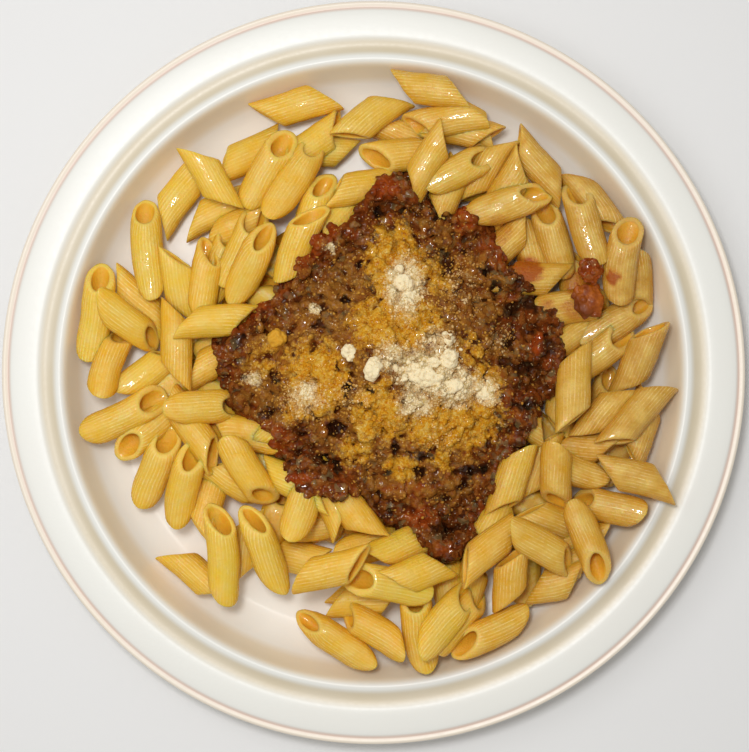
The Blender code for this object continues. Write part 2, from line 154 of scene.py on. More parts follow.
# The plate's profile as (radius, height): its top from the well's edge to the lip, then its underside.
PLATE_TOP = (
    (93.5, 2.5), (97.0, 3.7), (100.5, 5.7), (103.5, 8.9), (106.0, 13.4), (108.0, 17.8), (109.6, 19.3),
    (110.9, 19.3), (112.6, 18.4), (114.4, 18.0), (116.6, 18.4), (118.6, 19.1), (126.6, 19.4), (127.8, 18.7),
    (128.7, 18.9), (129.6, 19.2),
)
PLATE_UNDER = (
    (130.5, 18.4), (129.7, 16.9), (119.0, 16.6), (114.0, 15.6), (109.0, 16.4), (100.8, 5.4), (97.0, 1.1),
    (93.5, 0.0),
)

# Every penne that shows, from the bottom up, as (x, y, heading, roll, length) in millimetres and degrees.
# The heading points to the head end. At roll 0 the head's slanted cut faces up, and at 90 or -90 its tip lies
# left or right of the heading.
BOTTOM_LAYER = (
    (-28, -64.5, -10, 90, 28), (-17, -52.5, 10, 90, 28), (70.5, 13.5, 33, 90, 30), (34, -75, 78, 90, 30),
    (26, -73, 98, 0, 30), (42, -52, 62, 90, 30), (-48, 51, 22, 90, 31), (-67, 30, 97, 90, 31),
    (-54, 57, 22, 90, 31), (-68, 62, 52, 90, 31), (-44, 76, 26, 90, 31), (12, 83, -20, 90, 28),
    (32, 88.5, -30, -90, 31), (-19, 77, 0, 90, 31), (-21, 80, 34, 60, 31), (-21, 55.5, 72, -10, 31),
    (-12, 56, 50, 90, 31), (-4, 65, 12, 90, 31), (39.5, 71, 62, -90, 31), (92, 31, 95, 180, 28),
    (77, 59, -56, 60, 31), (55.7, 39.2, 100, 170, 31), (-82, 24.5, -40, -90, 31), (-79, 0, 40, -60, 31),
    (-78, -19, 221, 0, 31), (-58, -46, 77, 90, 31), (-47, -38, -32, 90, 31), (-46, -21, 172, -40, 31),
    (-30, -18, 218, -90, 31), (70, 32, 97, 50, 31), (80, -12, 75, 0, 31), (92.5, -19, 70, 90, 31),
    (74, -26, -5, 90, 28), (66, -10, -100, 90, 31), (57, -33, 72, -90, 31), (-45, -61, 83, -90, 31),
    (-1, -61, 10, 0, 31), (-3.5, -76, -5, 90, 28), (-3, -79, 5, 90, 31), (-15.5, -43.5, -63, -90, 31),
    (16, -89, 98, 0, 32), (30, -86, 47, 25, 31), (63, -52, -22, 90, 31), (71, -60, 15, 90, 31),
    (67, -68, 25, 90, 28), (64, -74, 14, 90, 26),
)
MIDDLE_LAYER = (
    (-37, 71, 59, 0, 31), (-53, 38, 70, 0, 31), (-46, 44, 65, 0, 31), (-1, 89, 41, -90, 31),
    (30.5, 84.5, -14, 90, 31), (25, 88, 190, -50, 31), (10, 76, 188, -50, 30), (26, 63, 65, 90, 28),
    (30.5, 71, 27, 0, 28), (58, 72, -47, -90, 32), (47, 64, 57, 90, 31), (45.5, 44.5, 42, 90, 31),
    (63, 47, 108, 0, 30), (47, 59, 20, -20, 31), (74, 52, 106, 10, 32), (-97, 21, 81, 0, 35),
    (-92, 4, 73, 0, 31), (-54, 5, 28, 90, 31), (-63, -20, -52, -70, 34), (-66, -39, 75, 0, 32),
    (-76, -33, 67, 0, 32), (-27, -39, -22, -90, 31), (-44, -34.5, -60, 15, 31), (69, 23, 8, 0, 30),
    (85, 18, 32, 0, 31), (79, 7, 36, 0, 30), (93, 5, 71, -90, 32), (81, -14, 51, -90, 30),
    (68, -33, 158, 0, 30), (51, -14, -38, -90, 31), (48, -38, -107, -60, 31), (-62, -70.5, -40, 90, 31),
    (-8, -48, -55, 90, 31), (10, -61, 22, -60, 30), (-25, -46, 73, 0, 31), (5, -74, 167, 0, 32),
    (-13, -93, 147, 0, 34), (41, -91, 201, 35, 31), (82, -47, 168, 20, 29), (64, -36, 91, 150, 29),
)
TOP_LAYER = (
    (-57, 68, -62, 90, 30), (-79, 43, 95, 0, 37), (-28, 68, 58, 0, 36), (-59, 32, 80, 40, 31),
    (-43, 38, 64, 0, 32), (-27, 93, 17, -90, 33), (20, 99, -8, -90, 31), (19, 74, 57, 90, 31),
    (-26, 45, 69, -50, 31), (87, 39, 82, 0, 31), (-86, 18, -36, -30, 31), (-69, 10, 90, 90, 34),
    (-87, -15, 26, 0, 33), (-59, -12, 3, 0, 31), (-55, 18, 2, 70, 31), (55, 33, -2, 90, 31),
    (70, -5, 86, -90, 35), (92, -37, -12, -90, 31), (92, -15, 49, -100, 35), (-53, -64, 92, 35, 36),
    (-38, -62, 107, 30, 34), (-15, -69, 14, 75, 31), (16, -70, 20, -80, 28), (40, -62, 34, 90, 31),
    (0, -90, 152, -30, 31), (25, -87, 47, 25, 32), (48, -72, 87, -90, 27), (59, -61, -29, -35, 33),
    (75, -59, -70, 0, 30),
)

# Penne that lie low on the plate and only just show between the others, as (x, y, heading, length) as seen.
LOW_PENNE = (
    (54, -46, -35, 30), (53, -68, 85, 28), (-34, -50, 70, 28), (84, -27, 65, 28), (60, -52, 20, 28),
    (70, -58, -40, 28), (57, -58, 60, 28), (38, 66, 10, 28), (-68, -2, 40, 28),
)

# The ragu's outline as (angle, radius) round its centre: corners and hollows only.
RAGU_OUTLINE = (
    (0, 62), (15, 62), (40, 56), (62, 62), (75, 60), (90, 69), (110, 53.5), (145, 47), (162, 52), (175, 63),
    (190, 58), (210, 47), (232, 52), (255, 47), (272, 55), (288, 71), (305, 60), (320, 53), (345, 54),
)

# Where crumbs, golden cheese and pale cheese lie on the ragu, where its sauce is red and where it has hollows,
# as (x, y, radii, heading, amount) in millimetres and degrees as seen from above.
CRUMB_PATCHES = (
    (4, 6, 44, 46, 0, 0.9), (-30, -4, 22, 16, 0, 0.9), (16, -34, 28, 16, 0, 0.8), (20, 48, 18, 12, 0, 0.7),
    (34, 28, 16, 18, 0, 0.8), (38, 4, 14, 12, 0, 0.85), (-34, 6, 14, 12, 0, 0.95),
)
GOLDEN_PATCHES = (
    (7.5, 38, 10, 14, 0, 1.0), (8, 17, 16, 11, 0, 1.0), (-20, -2, 12, 13, 0, 0.9), (1.5, -14, 9, 10, 0, 1.0),
    (27, -18, 18, 10, 0, 0.9), (39, -7, 7, 10, 0, 0.9), (10, -33, 6, 4, 0, 0.9), (24, -31, 4, 4, 0, 0.8),
    (-6.5, -27, 7, 6, 0, 0.7), (-39, 4, 7, 9, 0, 0.5), (22, 34, 7, 8, 0, 0.6), (33, 8, 7, 7, 0, 0.6),
    (-24, -12, 9, 6, 0, 0.7),
)
CREAM_PATCHES = (
    (11, 30.5, 7, 10.5, 0, 1.0), (6.5, 5.5, 7, 7, 0, 0.7), (19, 0, 12, 8.5, -15, 1.0),
    (29.5, -4.5, 8, 6.5, 0, 1.0), (39.5, -7, 5, 5, 0, 0.95), (15, -10.5, 7, 5.5, 0, 0.9),
    (-22.5, -6.5, 3.5, 4, 0, 0.95), (-24, -9, 8, 7, 0, 0.6), (-42, -2.5, 3.5, 3, 0, 0.8),
    (22, 9.5, 8, 7, 0, 0.65), (-21, 22.5, 2, 2.4, 0, 0.9), (-15, 44, 2.2, 2, 0, 0.9),
    (28, -10, 7, 4, -15, 0.7), (12, 20, 5, 5, 0, 0.5), (30, 30, 8, 10, 0, 0.35), (-8, -8, 10, 6, 0, 0.35),
    (44, 12, 5, 6, 0, 0.35), (22, -22, 8, 5, 0, 0.35),
)
RED_PATCHES = (
    (4, 65, 5, 4, 0, 0.9), (32, 55, 4, 7, 0, 1.0), (57.5, 9.5, 2.6, 3.6, 0, 1.2), (-26, -37, 5, 2, 0, 0.9),
    (16, -50, 5, 4.5, 0, 0.9), (17.5, -24.5, 7, 2, 0, 0.8), (12, -41, 9, 3, 0, 0.8), (-46, 20, 12, 4, 30, 0.7),
    (-20, 46, 12, 5, 45, 0.8), (43, 42, 6, 6, 0, 0.6), (-35, -22, 8, 5, -30, 0.6),
)
HOLLOW_PATCHES = (
    (-5, 38, 2, 1.4, 20, 1.0), (-10, 25, 2.2, 1, -20, 1.0), (-20, 16.5, 3, 1.3, 0, 0.8),
    (-30, 14, 1.2, 1, 0, 1.0), (-12.5, 3, 2.2, 0.8, 80, 1.0), (-18, 22.5, 2, 1.4, 60, 0.8),
    (1.5, 56, 2, 1.5, 0, 1.0), (22.5, 55, 2, 1.6, 60, 1.0), (26, 38, 4, 2, 80, 0.8),
    (14.5, 47, 2, 1, -40, 0.7), (39, 36, 2.4, 1.8, 0, 0.9),
    (42.5, 29.5, 3, 2, 90, 1.0), (48.5, 22, 3.2, 2.6, 0, 0.9), (56.5, 24.5, 5.5, 3, 0, 1.0),
    (36, 11, 2, 1.4, 0, 0.9), (47, 9.5, 2, 1.5, 0, 0.9), (46, 3.5, 3, 1.8, 0, 0.8), (61, 9, 3, 4, 0, 0.8),
    (53, 1.5, 4, 2.2, 0, 0.9), (-9, -5.5, 4.2, 1.1, 80, 1.0), (-13.5, -19.5, 3.4, 3, 0, 1.0),
    (-24.5, -21, 2, 1.3, 0, 0.9), (-17, -30, 3, 1.3, 0, 1.0), (-12.5, -33, 3.4, 1.1, 90, 1.0),
    (-3, -12.5, 2, 0.9, -30, 0.8), (1, -14, 2, 1, 80, 0.8), (7.5, -26.5, 2.6, 1.6, 90, 1.0),
    (17.5, -29.5, 2.6, 1.2, 0, 1.0), (16.5, -34.5, 2.2, 1.7, 60, 0.9), (35, -34, 6.5, 2, 10, 1.0),
    (32, -38.5, 1.8, 1.8, 0, 0.9), (53.5, -11.5, 6, 1.5, 0, 1.0), (44.5, -8, 1.6, 0.9, 60, 0.9),
    (53, -26, 4.5, 2.6, 0, 0.9), (23, -55, 3, 2.5, 0, 0.8), (-34.5, -1.5, 1.8, 1.6, 0, 0.8),
    (-37, -14.5, 4, 1.3, 20, 0.8), (-48, 11.5, 2.4, 2.4, 0, 0.7), (20.5, -14, 3, 1, 0, 0.6),
)

# The kinds of patches, with how softly they fade, how far they stray and the size of their frays.
PATCHES = {
    "crumb": (CRUMB_PATCHES, 0.3, 3.0, 4.0), "gold": (GOLDEN_PATCHES, 0.45, 3.0, 4.0),
    "cream": (CREAM_PATCHES, 0.5, 2.0, 3.0), "red": (RED_PATCHES, 0.3, 1.5, 3.0),
    "hollow": (HOLLOW_PATCHES, 0.3, 2.0, 2.2),
}

# Grated cheese strewn on the ragu as (piece, kind of patch, grains to a square millimetre), with the seed of
# the first piece and the least radius of a grain.
STREWN = (("cheese_crumbs", "crumb", 0.22), ("cheese_golden", "gold", 0.6), ("cheese_cream", "cream", 2.4))
STREWN_SEED = 31
LEAST_GRAIN = 0.22 * MM

# The grains on a pile of cheese: the first seed, how many to a square millimetre, their least and largest
# radius, how much wider than the balls under them they lie, and how softly they end.
PILE_SEED = 41
PILE_DENSITY = 1.3
PILE_GRAINS = (0.3 * MM, 1.0 * MM)
PILE_SPREAD = 1.35
PILE_EDGE = 0.5

# How far the ragu's sauce reaches over the penne, and more spots of it as (x, y, radii, heading, amount).
SAUCE_REACH = 3.0 * MM
SAUCE_SPOTS = (
    (53.5, 36, 6.5, 5, -10, 1.0), (46, 34, 6, 5, 0, 0.9), (84, 33.5, 3, 3, 0, 1.0), (70, 22, 5, 4, 0, 0.7),
    (72, 31, 6, 5, 0, 0.8), (44, 50, 5, 6, 0, 0.6), (61, 22, 4, 4, 0, 0.7),
)

# Lumps of cheese on the ragu, the balls that its piles are heaped from, and the loose pieces on the penne, as
# (x, y, radii, heading, depth sunk in).
NUGGETS = {
    "cheese_nugget_left": (-8.5, 7.0, (2.4, 2.9, 2.2), 15, 0.6),
    "cheese_nugget_right": (-0.2, 1.2, (2.8, 4.0, 2.6), -15, 0.8),
    "cheese_chunk": (-33.8, 12.0, (3.1, 3.1, 2.2), 30, 0.6),
}
PILES = {
    "cheese_heap": (
        (17.5, -1, (5.6, 3.4, 1.5), -20, 0.7), (28, -4.5, (3, 2.2, 1.2), 0, 0.7),
        (38.5, -7.5, (2.2, 2, 1.2), 0, 0.6), (21, 3.5, (2.4, 1.6, 1.0), 0, 0.8),
        (26.4, 4.8, (2.8, 3.4, 2.6), -20, 0.0), (26, 11, (1.5, 1.8, 1.5), 0, 0.2),
    ),
    "cheese_pinch": (
        (10.5, 31.5, (2.8, 3, 1.4), 0, 0.7), (12, 26.5, (2, 2.2, 1.1), 0, 0.7), (9, 36, (1.4, 1.6, 1), 0, 0.6),
    ),
}
ON_PASTA = {
    "tomato_piece": (75.0, 25.0, (5.4, 6.2, 2.4), 20, 1.6),
    "mince_clump": (76.0, 36.0, (4.2, 4.4, 2.4), 0, 1.6),
}

# The tomato darkens towards its lower left, from this place and over this distance.
TOMATO_MIDDLE = (75.0 * MM, 24.0 * MM)
TOMATO_SHADING = 8.0 * MM


def linear(red, green, blue):
    """A colour as it looks on screen, from 0 to 255, as the linear colour that shaders take."""
    shares = (red / 255.0, green / 255.0, blue / 255.0)
    return tuple(s / 12.92 if s <= 0.04045 else ((s + 0.055) / 1.055) ** 2.4 for s in shares)


# Colours that the finishes mix in, among them painted light and painted shade.
SHADES = {name: linear(*screen) for name, screen in {
    # The wall shades are painted shade, with painted light bounced from the pasta, on the steep top of the
    # plate's wall.
    "lower wall shade": (246, 232, 204), "upper wall shade": (238, 222, 192), "lip groove": (220, 190, 174),
    # Lit pasta is painted light on skin facing up, shaded pasta painted shade on skin facing down.
    "lit pasta": (244, 216, 120), "shaded pasta": (222, 150, 16), "rib": (252, 234, 172),
    # The rib colour is a painted highlight along the ribs, and the furrow shade is painted shade between them.
    "furrow shade": (206, 140, 20), "cut": (246, 218, 130), "stain edge": (212, 142, 16), "stain": (172, 88, 2),
    "dark mince": (94, 42, 5), "pale mince": (148, 88, 32), "dry mince": (168, 116, 58),
    # The hollow colour is dark sauce with painted shade, for the ragu's crevices.
    "herbs": (118, 104, 66), "tomato sauce": (170, 66, 8), "glint": (226, 192, 136), "hollow": (26, 10, 1),
    "melted": (138, 82, 20), "oil": (184, 100, 4), "gold": (222, 168, 50), "pale gold": (228, 192, 98),
    "thin cream": (212, 182, 112), "dry gold": (222, 172, 62), "cheese speck": (190, 146, 66),
    "cheese gap shade": (178, 126, 50), "dark tomato": (128, 54, 2), "tomato": (172, 88, 6),
    "lower left tomato": (96, 42, 16), "tomato speck": (130, 58, 14),
}.items()}


def colour_property(name, description, screen):
    return FloatVectorProperty(name=name, description=description, subtype="COLOR", size=3, min=0.0, max=1.0,
                               default=linear(*screen))


def length_property(name, description, default):
    return FloatProperty(name=name, description=description, default=default, min=0.0, subtype="DISTANCE",
                         unit="LENGTH", precision=5)


# Settings


class DishPlateSettings(bpy.types.PropertyGroup):
    """The plate."""

    steps: IntProperty(name="Steps", description="Faces round the plate", default=288, min=24)
    rim_colour: colour_property("Rim", "Colour of the flat rim", (240, 240, 234))
    # Painted light: the wall is lighter than the rim to make up for the shade that falls on its slope.
    lightened_wall_colour: colour_property("Wall", "Colour of the sloping wall and the grooves", (255, 252, 242))
    well_colour: colour_property("Well", "Colour of the flat middle", (252, 248, 238))
    # Painted shade, with painted light bounced from the pasta, in the groove inside the rim.
    groove_shade_colour: colour_property("Groove", "Colour of the groove inside the rim", (216, 203, 176))
    lip_colour: colour_property("Lip", "Colour of the outermost lip", (244, 232, 214))


class DishPenneSettings(bpy.types.PropertyGroup):
    """The penne."""

    ribs: IntProperty(name="Ribs", description="Ribs round a tube", default=30, min=0)
    rib_height: length_property("Rib Height", "How far the ribs stand out from the grooves", 0.13 * MM)
    around: IntProperty(name="Around", description="Faces round a tube", default=80, min=8)
    along: IntProperty(name="Along", description="Faces along a tube's skin, out and back inside", default=24,
                       min=8)
    bright_colour: colour_property("Bright", "Colour of the palest penne", (242, 197, 54))
    golden_colour: colour_property("Golden", "Colour of the most golden penne", (233, 170, 24))
    # Painted shade: the colour the penne darken to towards the right, where less light falls.
    right_shade_colour: colour_property("Oiled", "Colour of penne soaked with oil", (198, 144, 44))
    # Painted shade inside the tube.
    bore_shade_colour: colour_property("Hollow", "Colour inside a tube", (236, 176, 50))


class DishRaguSettings(bpy.types.PropertyGroup):
    """The ragu."""

    rings: IntProperty(name="Rings", description="Rings of faces from the middle to the edge", default=130,
                       min=10)
    steps: IntProperty(name="Steps", description="Faces round the mound", default=360, min=24)
    clump: length_property("Clump", "Radius of the largest clumps of mince", 3.0 * MM)
    grain: length_property("Grain", "Radius of the largest single pieces of mince", 1.5 * MM)
    cell: length_property("Cell", "Size of the cells that the skin is made of", 0.45 * MM)
    faces: IntProperty(name="Faces", description="Most triangles in the ragu", default=190000, min=1000)
    sauce_colour: colour_property("Sauce", "Colour of the sauce in the hollows", (44, 15, 1))
    meat_colour: colour_property("Meat", "Colour of the minced duck", (120, 58, 9))


class DishCheeseSettings(bpy.types.PropertyGroup):
    """The grated cheese."""

    grain: length_property("Grain", "Radius of the largest grains", 0.62 * MM)
    crumb_colour: colour_property("Crumb", "Colour of cheese melted into the sauce", (184, 129, 48))
    golden_colour: colour_property("Golden", "Colour of cheese soaked with oil", (214, 146, 14))
    cream_colour: colour_property("Cream", "Colour of dry cheese", (250, 232, 190))


class DishStageSettings(bpy.types.PropertyGroup):
    """The floor, the lights and the camera."""

    key_power: FloatProperty(name="Key Light", description="Power of the lamp above the camera", default=1.6,
                             min=0.0, unit="POWER")
    side_power: FloatProperty(name="Side Light", description="Power of the large soft lamp on the left",
                              default=1.15, min=0.0, unit="POWER")
    fill: FloatProperty(name="Fill", description="Strength of the soft light from all round", default=0.38,
                        min=0.0)
    camera_height: length_property("Camera Height", "Height of the camera over the table", VIEW_HEIGHT)


# Node trees


def operators(operation):
    """A Value's operator and its reflected form, for a Math node's operation."""
    return (lambda self, other: self.maths(operation, self, other),
            lambda self, other: self.maths(operation, other, self))


class Value:
    """An output of a node, which adds Math nodes to its tree where it is used in sums."""

    def __init__(self, nodes, node, output=0):
        self.nodes, self.node, self.output = nodes, node, node.outputs[output]

    def out(self, name):
        return Value(self.nodes, self.node, name)

    def maths(self, operation, *terms):
        return self.nodes.add("ShaderNodeMath", {"operation": operation}, dict(enumerate(terms)))

    __add__, __radd__ = operators("ADD")
    __sub__, __rsub__ = operators("SUBTRACT")
    __mul__, __rmul__ = operators("MULTIPLY")
    __truediv__, __rtruediv__ = operators("DIVIDE")

    def __pow__(self, other):
        return self.maths("POWER", self, other)

    def __abs__(self):
        return self.maths("ABSOLUTE", self)

    def cos(self):
        return self.maths("COSINE", self)

    def sin(self):
        return self.maths("SINE", self)

    def most(self, *others):
        """The largest of this and others."""
        return functools.reduce(lambda first, other: first.maths("MAXIMUM", first, other), others, self)

    def clamp(self, low=0.0, high=1.0):
        return self.maths("MINIMUM", self, high).most(low)

    def ramp(self, low, high):
        """0 at low and 1 at high, held beyond both."""
        return ((self - low) / (high - low)).clamp()


class Nodes:
    """Adds nodes to a tree."""

    def __init__(self, tree):
        self.tree = tree

    def add(self, kind, settings=None, sockets=None, output=0):
        node = self.tree.nodes.new(kind)
        for name, setting in (settings or {}).items():
            if name == "stops":
                self.set_stops(node.color_ramp, setting)
            else:
                setattr(node, name, setting)
        for key, value in (sockets or {}).items():
            if isinstance(value, Value):
                self.tree.links.new(value.output, node.inputs[key])
            else:
                node.inputs[key].default_value = value
        return Value(self, node, output) if node.outputs else node

    def set_stops(self, ramp, stops):
        while len(ramp.elements) < len(stops):
            ramp.elements.new(1.0)
        for element, (position, colour) in zip(ramp.elements, stops):
            element.position = position
            element.color = (*colour, 1.0)

    def mix(self, factor, first, second):
        first, second = [c if isinstance(c, Value) else (*c[:3], 1.0) for c in (first, second)]
        return self.add("ShaderNodeMix", {"data_type": "RGBA"}, {0: factor, 6: first, 7: second}, 2)

    def vector(self, operation, first, second):
        return self.add("ShaderNodeVectorMath", {"operation": operation}, {0: first, 1: second})

    def scale(self, vector, amount):
        return self.add("ShaderNodeVectorMath", {"operation": "SCALE"}, {0: vector, "Scale": amount})

    def layered(self, colour, *layers):
        """A colour under others, each as (amount, colour)."""
        for amount, over in layers:
            colour = self.mix(amount, colour, over)
        return colour

    def colours(self, factor, *stops):
        """A colour ramp, with each stop as (position, colour)."""
        return self.add("ShaderNodeValToRGB", {"stops": stops}, {0: factor}, "Color")

    def drift(self, colour, amount):
        """A noise's colour as a vector to any side, of up to half an amount on each axis."""
        return self.scale(self.vector("SUBTRACT", colour, (0.5, 0.5, 0.5)), amount)

    def named(self, name, kind="FLOAT"):
        return self.add("GeometryNodeInputNamedAttribute", {"data_type": kind}, {"Name": name})

    def stored(self, geometry, name, value, domain="POINT"):
        return self.add("GeometryNodeStoreNamedAttribute", {"data_type": "FLOAT", "domain": domain},
                        {"Geometry": geometry, "Name": name, "Value": value})

    def end(self, geometry, material):
        """Give out a geometry as the tree's own, smooth and with a material."""
        smooth = self.add("GeometryNodeSetShadeSmooth", {}, {"Geometry": geometry})
        self.add("NodeGroupOutput", {}, {0: self.add("GeometryNodeSetMaterial", {}, {
            "Geometry": smooth, "Material": material})})


class Finish(Nodes):
    """A new material and the nodes of its shader."""

    def __init__(self, name):
        self.material = bpy.data.materials.new(name)
        self.material.use_nodes = True
        super().__init__(self.material.node_tree)
        self.shader = self.tree.nodes["Principled BSDF"]
        self.place = self.add("ShaderNodeTexCoord", output="Object")

    def attributes(self, *names):
        return [self.add("ShaderNodeAttribute", {"attribute_name": name}, output="Fac") for name in names]

    def sides(self):
        """The X and the Y of each place."""
        split = self.add("ShaderNodeSeparateXYZ", {}, {0: self.place})
        return split.out("X"), split.out("Y")

    def noise(self, size, detail=3.0, roughness=0.55):
        """Noise round 0.5 whose features are about a size across."""
        return self.add("ShaderNodeTexNoise", {}, {"Vector": self.place, "Scale": 1.0 / size, "Detail": detail,
                                                   "Roughness": roughness}, "Fac")

    def cells(self, size):
        """A random number from 0 to 1 for each cell about a size across."""
        colour = self.add("ShaderNodeTexVoronoi", {}, {"Vector": self.place, "Scale": 1.0 / size}, "Color")
        return self.add("ShaderNodeSeparateColor", {}, {0: colour}, "Red")

    def bump(self, height, distance, strength):
        return self.add("ShaderNodeBump", {}, {"Height": height, "Distance": distance, "Strength": strength})

    def finish(self, **sockets):
        """Set the shader's sockets, named in lower case with underscores, and give back the material."""
        for name, value in sockets.items():
            socket = self.shader.inputs[name.replace("_", " ").title().replace("Ior", "IOR")]
            if isinstance(value, Value):
                self.tree.links.new(value.output, socket)
            else:
                socket.default_value = value
        return self.material


# Meshes


def new_piece(name, mesh, material, replaces=()):
    """A finished piece of the dish."""
    mesh.name = name
    obj = linked(name, mesh)
    mesh.materials.clear()
    mesh.materials.append(material)
    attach(obj, "root")
    if replaces:
        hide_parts(*replaces)
    return obj


def linked(name, data):
    """A new object in the scene, with a mesh, a lamp or a camera."""
    obj = bpy.data.objects.new(name, data)
    bpy.context.scene.collection.objects.link(obj)
    return obj


def ring_mesh(name, rings, start, end):
    """A closed skin over rings of points, with a single point at each end."""
    count, steps = rings.shape[:2]
    points = np.concatenate([[start], rings.reshape(-1, 3), [end]])
    faces = []
    for step in range(steps):
        after = (step + 1) % steps
        faces.append((0, 1 + step, 1 + after))
        for ring in range(count - 1):
            low, high = 1 + ring * steps, 1 + (ring + 1) * steps
            faces.append((low + step, high + step, high + after, low + after))
        last = 1 + (count - 1) * steps
        faces.append((last + step, len(points) - 1, last + after))
    mesh = bpy.data.meshes.new(name)
    mesh.from_pydata(points.tolist(), [], faces)
    mesh.shade_smooth()
    return mesh


def mesh_points(mesh, key="co"):
    """The places of a mesh's points, or their normals, as rows of an array."""
    values = np.empty(len(mesh.vertices) * 3)
    mesh.vertices.foreach_get(key, values)
    return values.reshape(-1, 3)


def set_attribute(mesh, name, values):
    """Store an attribute of a mesh's points: one number for all or for each, or one vector for each."""
    values = np.asarray(values, float)
    if values.ndim == 0:
        values = np.full(len(mesh.vertices), values)
    kind, key = ("FLOAT_VECTOR", "vector") if values.ndim == 2 else ("FLOAT", "value")
    attribute = mesh.attributes.get(name) or mesh.attributes.new(name, kind, "POINT")
    attribute.data.foreach_set(key, values.ravel())


def joined_mesh(name, *meshes):
    bm = bmesh.new()
    for mesh in meshes:
        bm.from_mesh(mesh)
    joined = bpy.data.meshes.new(name)
    bm.to_mesh(joined)
    bm.free()
    return joined


def plain_mesh(carrier):
    """What an object's modifiers make of it, as a mesh of its own; the object goes."""
    graph = bpy.context.evaluated_depsgraph_get()
    mesh = bpy.data.meshes.new_from_object(carrier.evaluated_get(graph), preserve_all_data_layers=True,
                                           depsgraph=graph)
    carrier.modifiers.clear()
    bpy.data.objects.remove(carrier)
    return mesh


def modified(mesh, kind, **settings):
    """A mesh as one modifier makes it."""
    carrier = linked("carrier", mesh)
    modifier = carrier.modifiers.new(kind.title(), kind)
    for name, setting in settings.items():
        setattr(modifier, name, setting)
    return plain_mesh(carrier)


def crumbly(mesh, cell, grains, faces):
    """One closed skin over all of a mesh, swollen into grains of several sizes and depths."""
    mesh = modified(mesh, "REMESH", mode="VOXEL", voxel_size=cell)
    points = mesh_points(mesh)
    swell = np.zeros(len(points))
    for size, depth in grains:
        swell += depth * (0.4 - np.square([noise.voronoi(Vector(p) / size)[0][0] for p in points]))
    mesh.vertices.foreach_set("co", (points + mesh_points(mesh, "normal") * swell[:, None]).ravel())
    mesh.update()
    mesh.calc_loop_triangles()
    mesh = modified(mesh, "DECIMATE", ratio=min(1.0, faces / len(mesh.loop_triangles)))
    mesh.shade_smooth()
    return mesh


def set_relief(mesh, rounds=40):
    """Store how far each point stands above the skin round it, levelled in some rounds, in millimetres."""
    height = mesh_points(mesh)[:, 2]
    ends = np.empty(len(mesh.edges) * 2, int)
    mesh.edges.foreach_get("vertices", ends)
    starts = ends.reshape(-1, 2)[:, ::-1].ravel()
    count = np.bincount(ends, minlength=len(height))
    level = height
    for _ in range(rounds):
        level = 0.5 * level + 0.5 * np.bincount(ends, level[starts], len(height)) / count
    set_attribute(mesh, "relief", (height - level) / MM)


def geometry_tree(name, sockets):
    """A new Geometry Nodes tree with named inputs, its nodes, and its input node."""
    tree = bpy.data.node_groups.new(name, "GeometryNodeTree")
    tree.is_modifier = True
    tree.interface.new_socket("Geometry", in_out="OUTPUT", socket_type="NodeSocketGeometry")
    tree.interface.new_socket("Geometry", in_out="INPUT", socket_type="NodeSocketGeometry")
    for label, kind in sockets:
        tree.interface.new_socket(label, in_out="INPUT", socket_type="NodeSocket" + kind)
    nodes = Nodes(tree)
    return tree, nodes, nodes.add("NodeGroupInput")


def grown_mesh(base, tree, values):
    """What a Geometry Nodes tree makes of a mesh, as a plain mesh."""
    carrier = linked("carrier", base)
    modifier = carrier.modifiers.new("Grow", "NODES")
    modifier.node_group = tree
    for item in tree.interface.items_tree:
        if item.in_out == "INPUT" and item.name in values:
            modifier[item.identifier] = values[item.name]
    return plain_mesh(carrier)


# Places and heights


def plate_surface(radius):
    """Height of the plate's top at a distance from its centre."""
    radii = [0.0, WELL_RADIUS] + [r * MM for r, _ in PLATE_TOP] + [PLATE_RADIUS]
    heights = [FLOOR_HEIGHT, FLOOR_HEIGHT] + [z * MM for _, z in PLATE_TOP + PLATE_UNDER[:1]]
    return np.interp(radius, radii, heights)


def core_surface(radius):
    """Height of the heap's bare core: a dome that meets the floor at CORE_RADIUS, with a crown."""
    dome = np.clip(1.0 - (radius / CORE_RADIUS) ** 2, 0.0, 1.0) ** CORE_FALL
    crown = np.clip(1.0 - (radius / CROWN_RADIUS) ** 2, 0.0, 1.0) ** CROWN_FALL
    return FLOOR_HEIGHT + CORE_RISE * dome + CROWN_RISE * crown


def ground(x, y):
    """Height of the plate and the bare core."""
    radius = np.hypot(x, y)
    return np.maximum(plate_surface(radius), core_surface(radius))


def axis_floor(points, across):
    """Least height of a tube's axis at points where only the ground holds it up."""
    rests = []
    for share in np.linspace(-1.0, 1.0, STATIONS):
        beside = points + share * PENNE_RADIUS * across
        rise = PENNE_RADIUS * math.sqrt(1.0 - share ** 2)
        on_plate = plate_surface(np.hypot(beside[..., 0], beside[..., 1])) + rise + 2.0 * GAP
        on_core = core_surface(np.hypot(beside[..., 0], beside[..., 1])) + CORE_GIVE * rise
        rests.append(np.maximum(on_plate, on_core))
    return np.max(rests, axis=0)


def outline_radius(angles):
    """Radius of the ragu's outline at angles in radians, eased from one corner to the next."""
    corners = np.array(RAGU_OUTLINE + ((RAGU_OUTLINE[0][0] + 360.0, RAGU_OUTLINE[0][1]),), float)
    turns = np.degrees(angles) % 360.0
    after = np.clip(np.searchsorted(corners[:, 0], turns, side="right"), 1, len(corners) - 1)
    start, end = corners[after - 1], corners[after]
    ease = 0.5 - 0.5 * np.cos(np.pi * (turns - start[..., 0]) / (end[..., 0] - start[..., 0]))
    return (start[..., 1] + (end[..., 1] - start[..., 1]) * ease) * MM


def inside_ragu(places):
    """How far inside the ragu's outline places lie, or below 0 outside it."""
    dx, dy = (places - RAGU_CENTRE).T
    return outline_radius(np.arctan2(dy, dx)) - np.hypot(dx, dy)


def lumps(x, y, size, seed=0.0):
    """Smooth noise from about -1 to 1 at many places at once."""
    places = zip(np.ravel(x) / size, np.ravel(y) / size)
    return np.reshape([noise.noise(Vector((a, b, seed))) for a, b in places], np.shape(x))


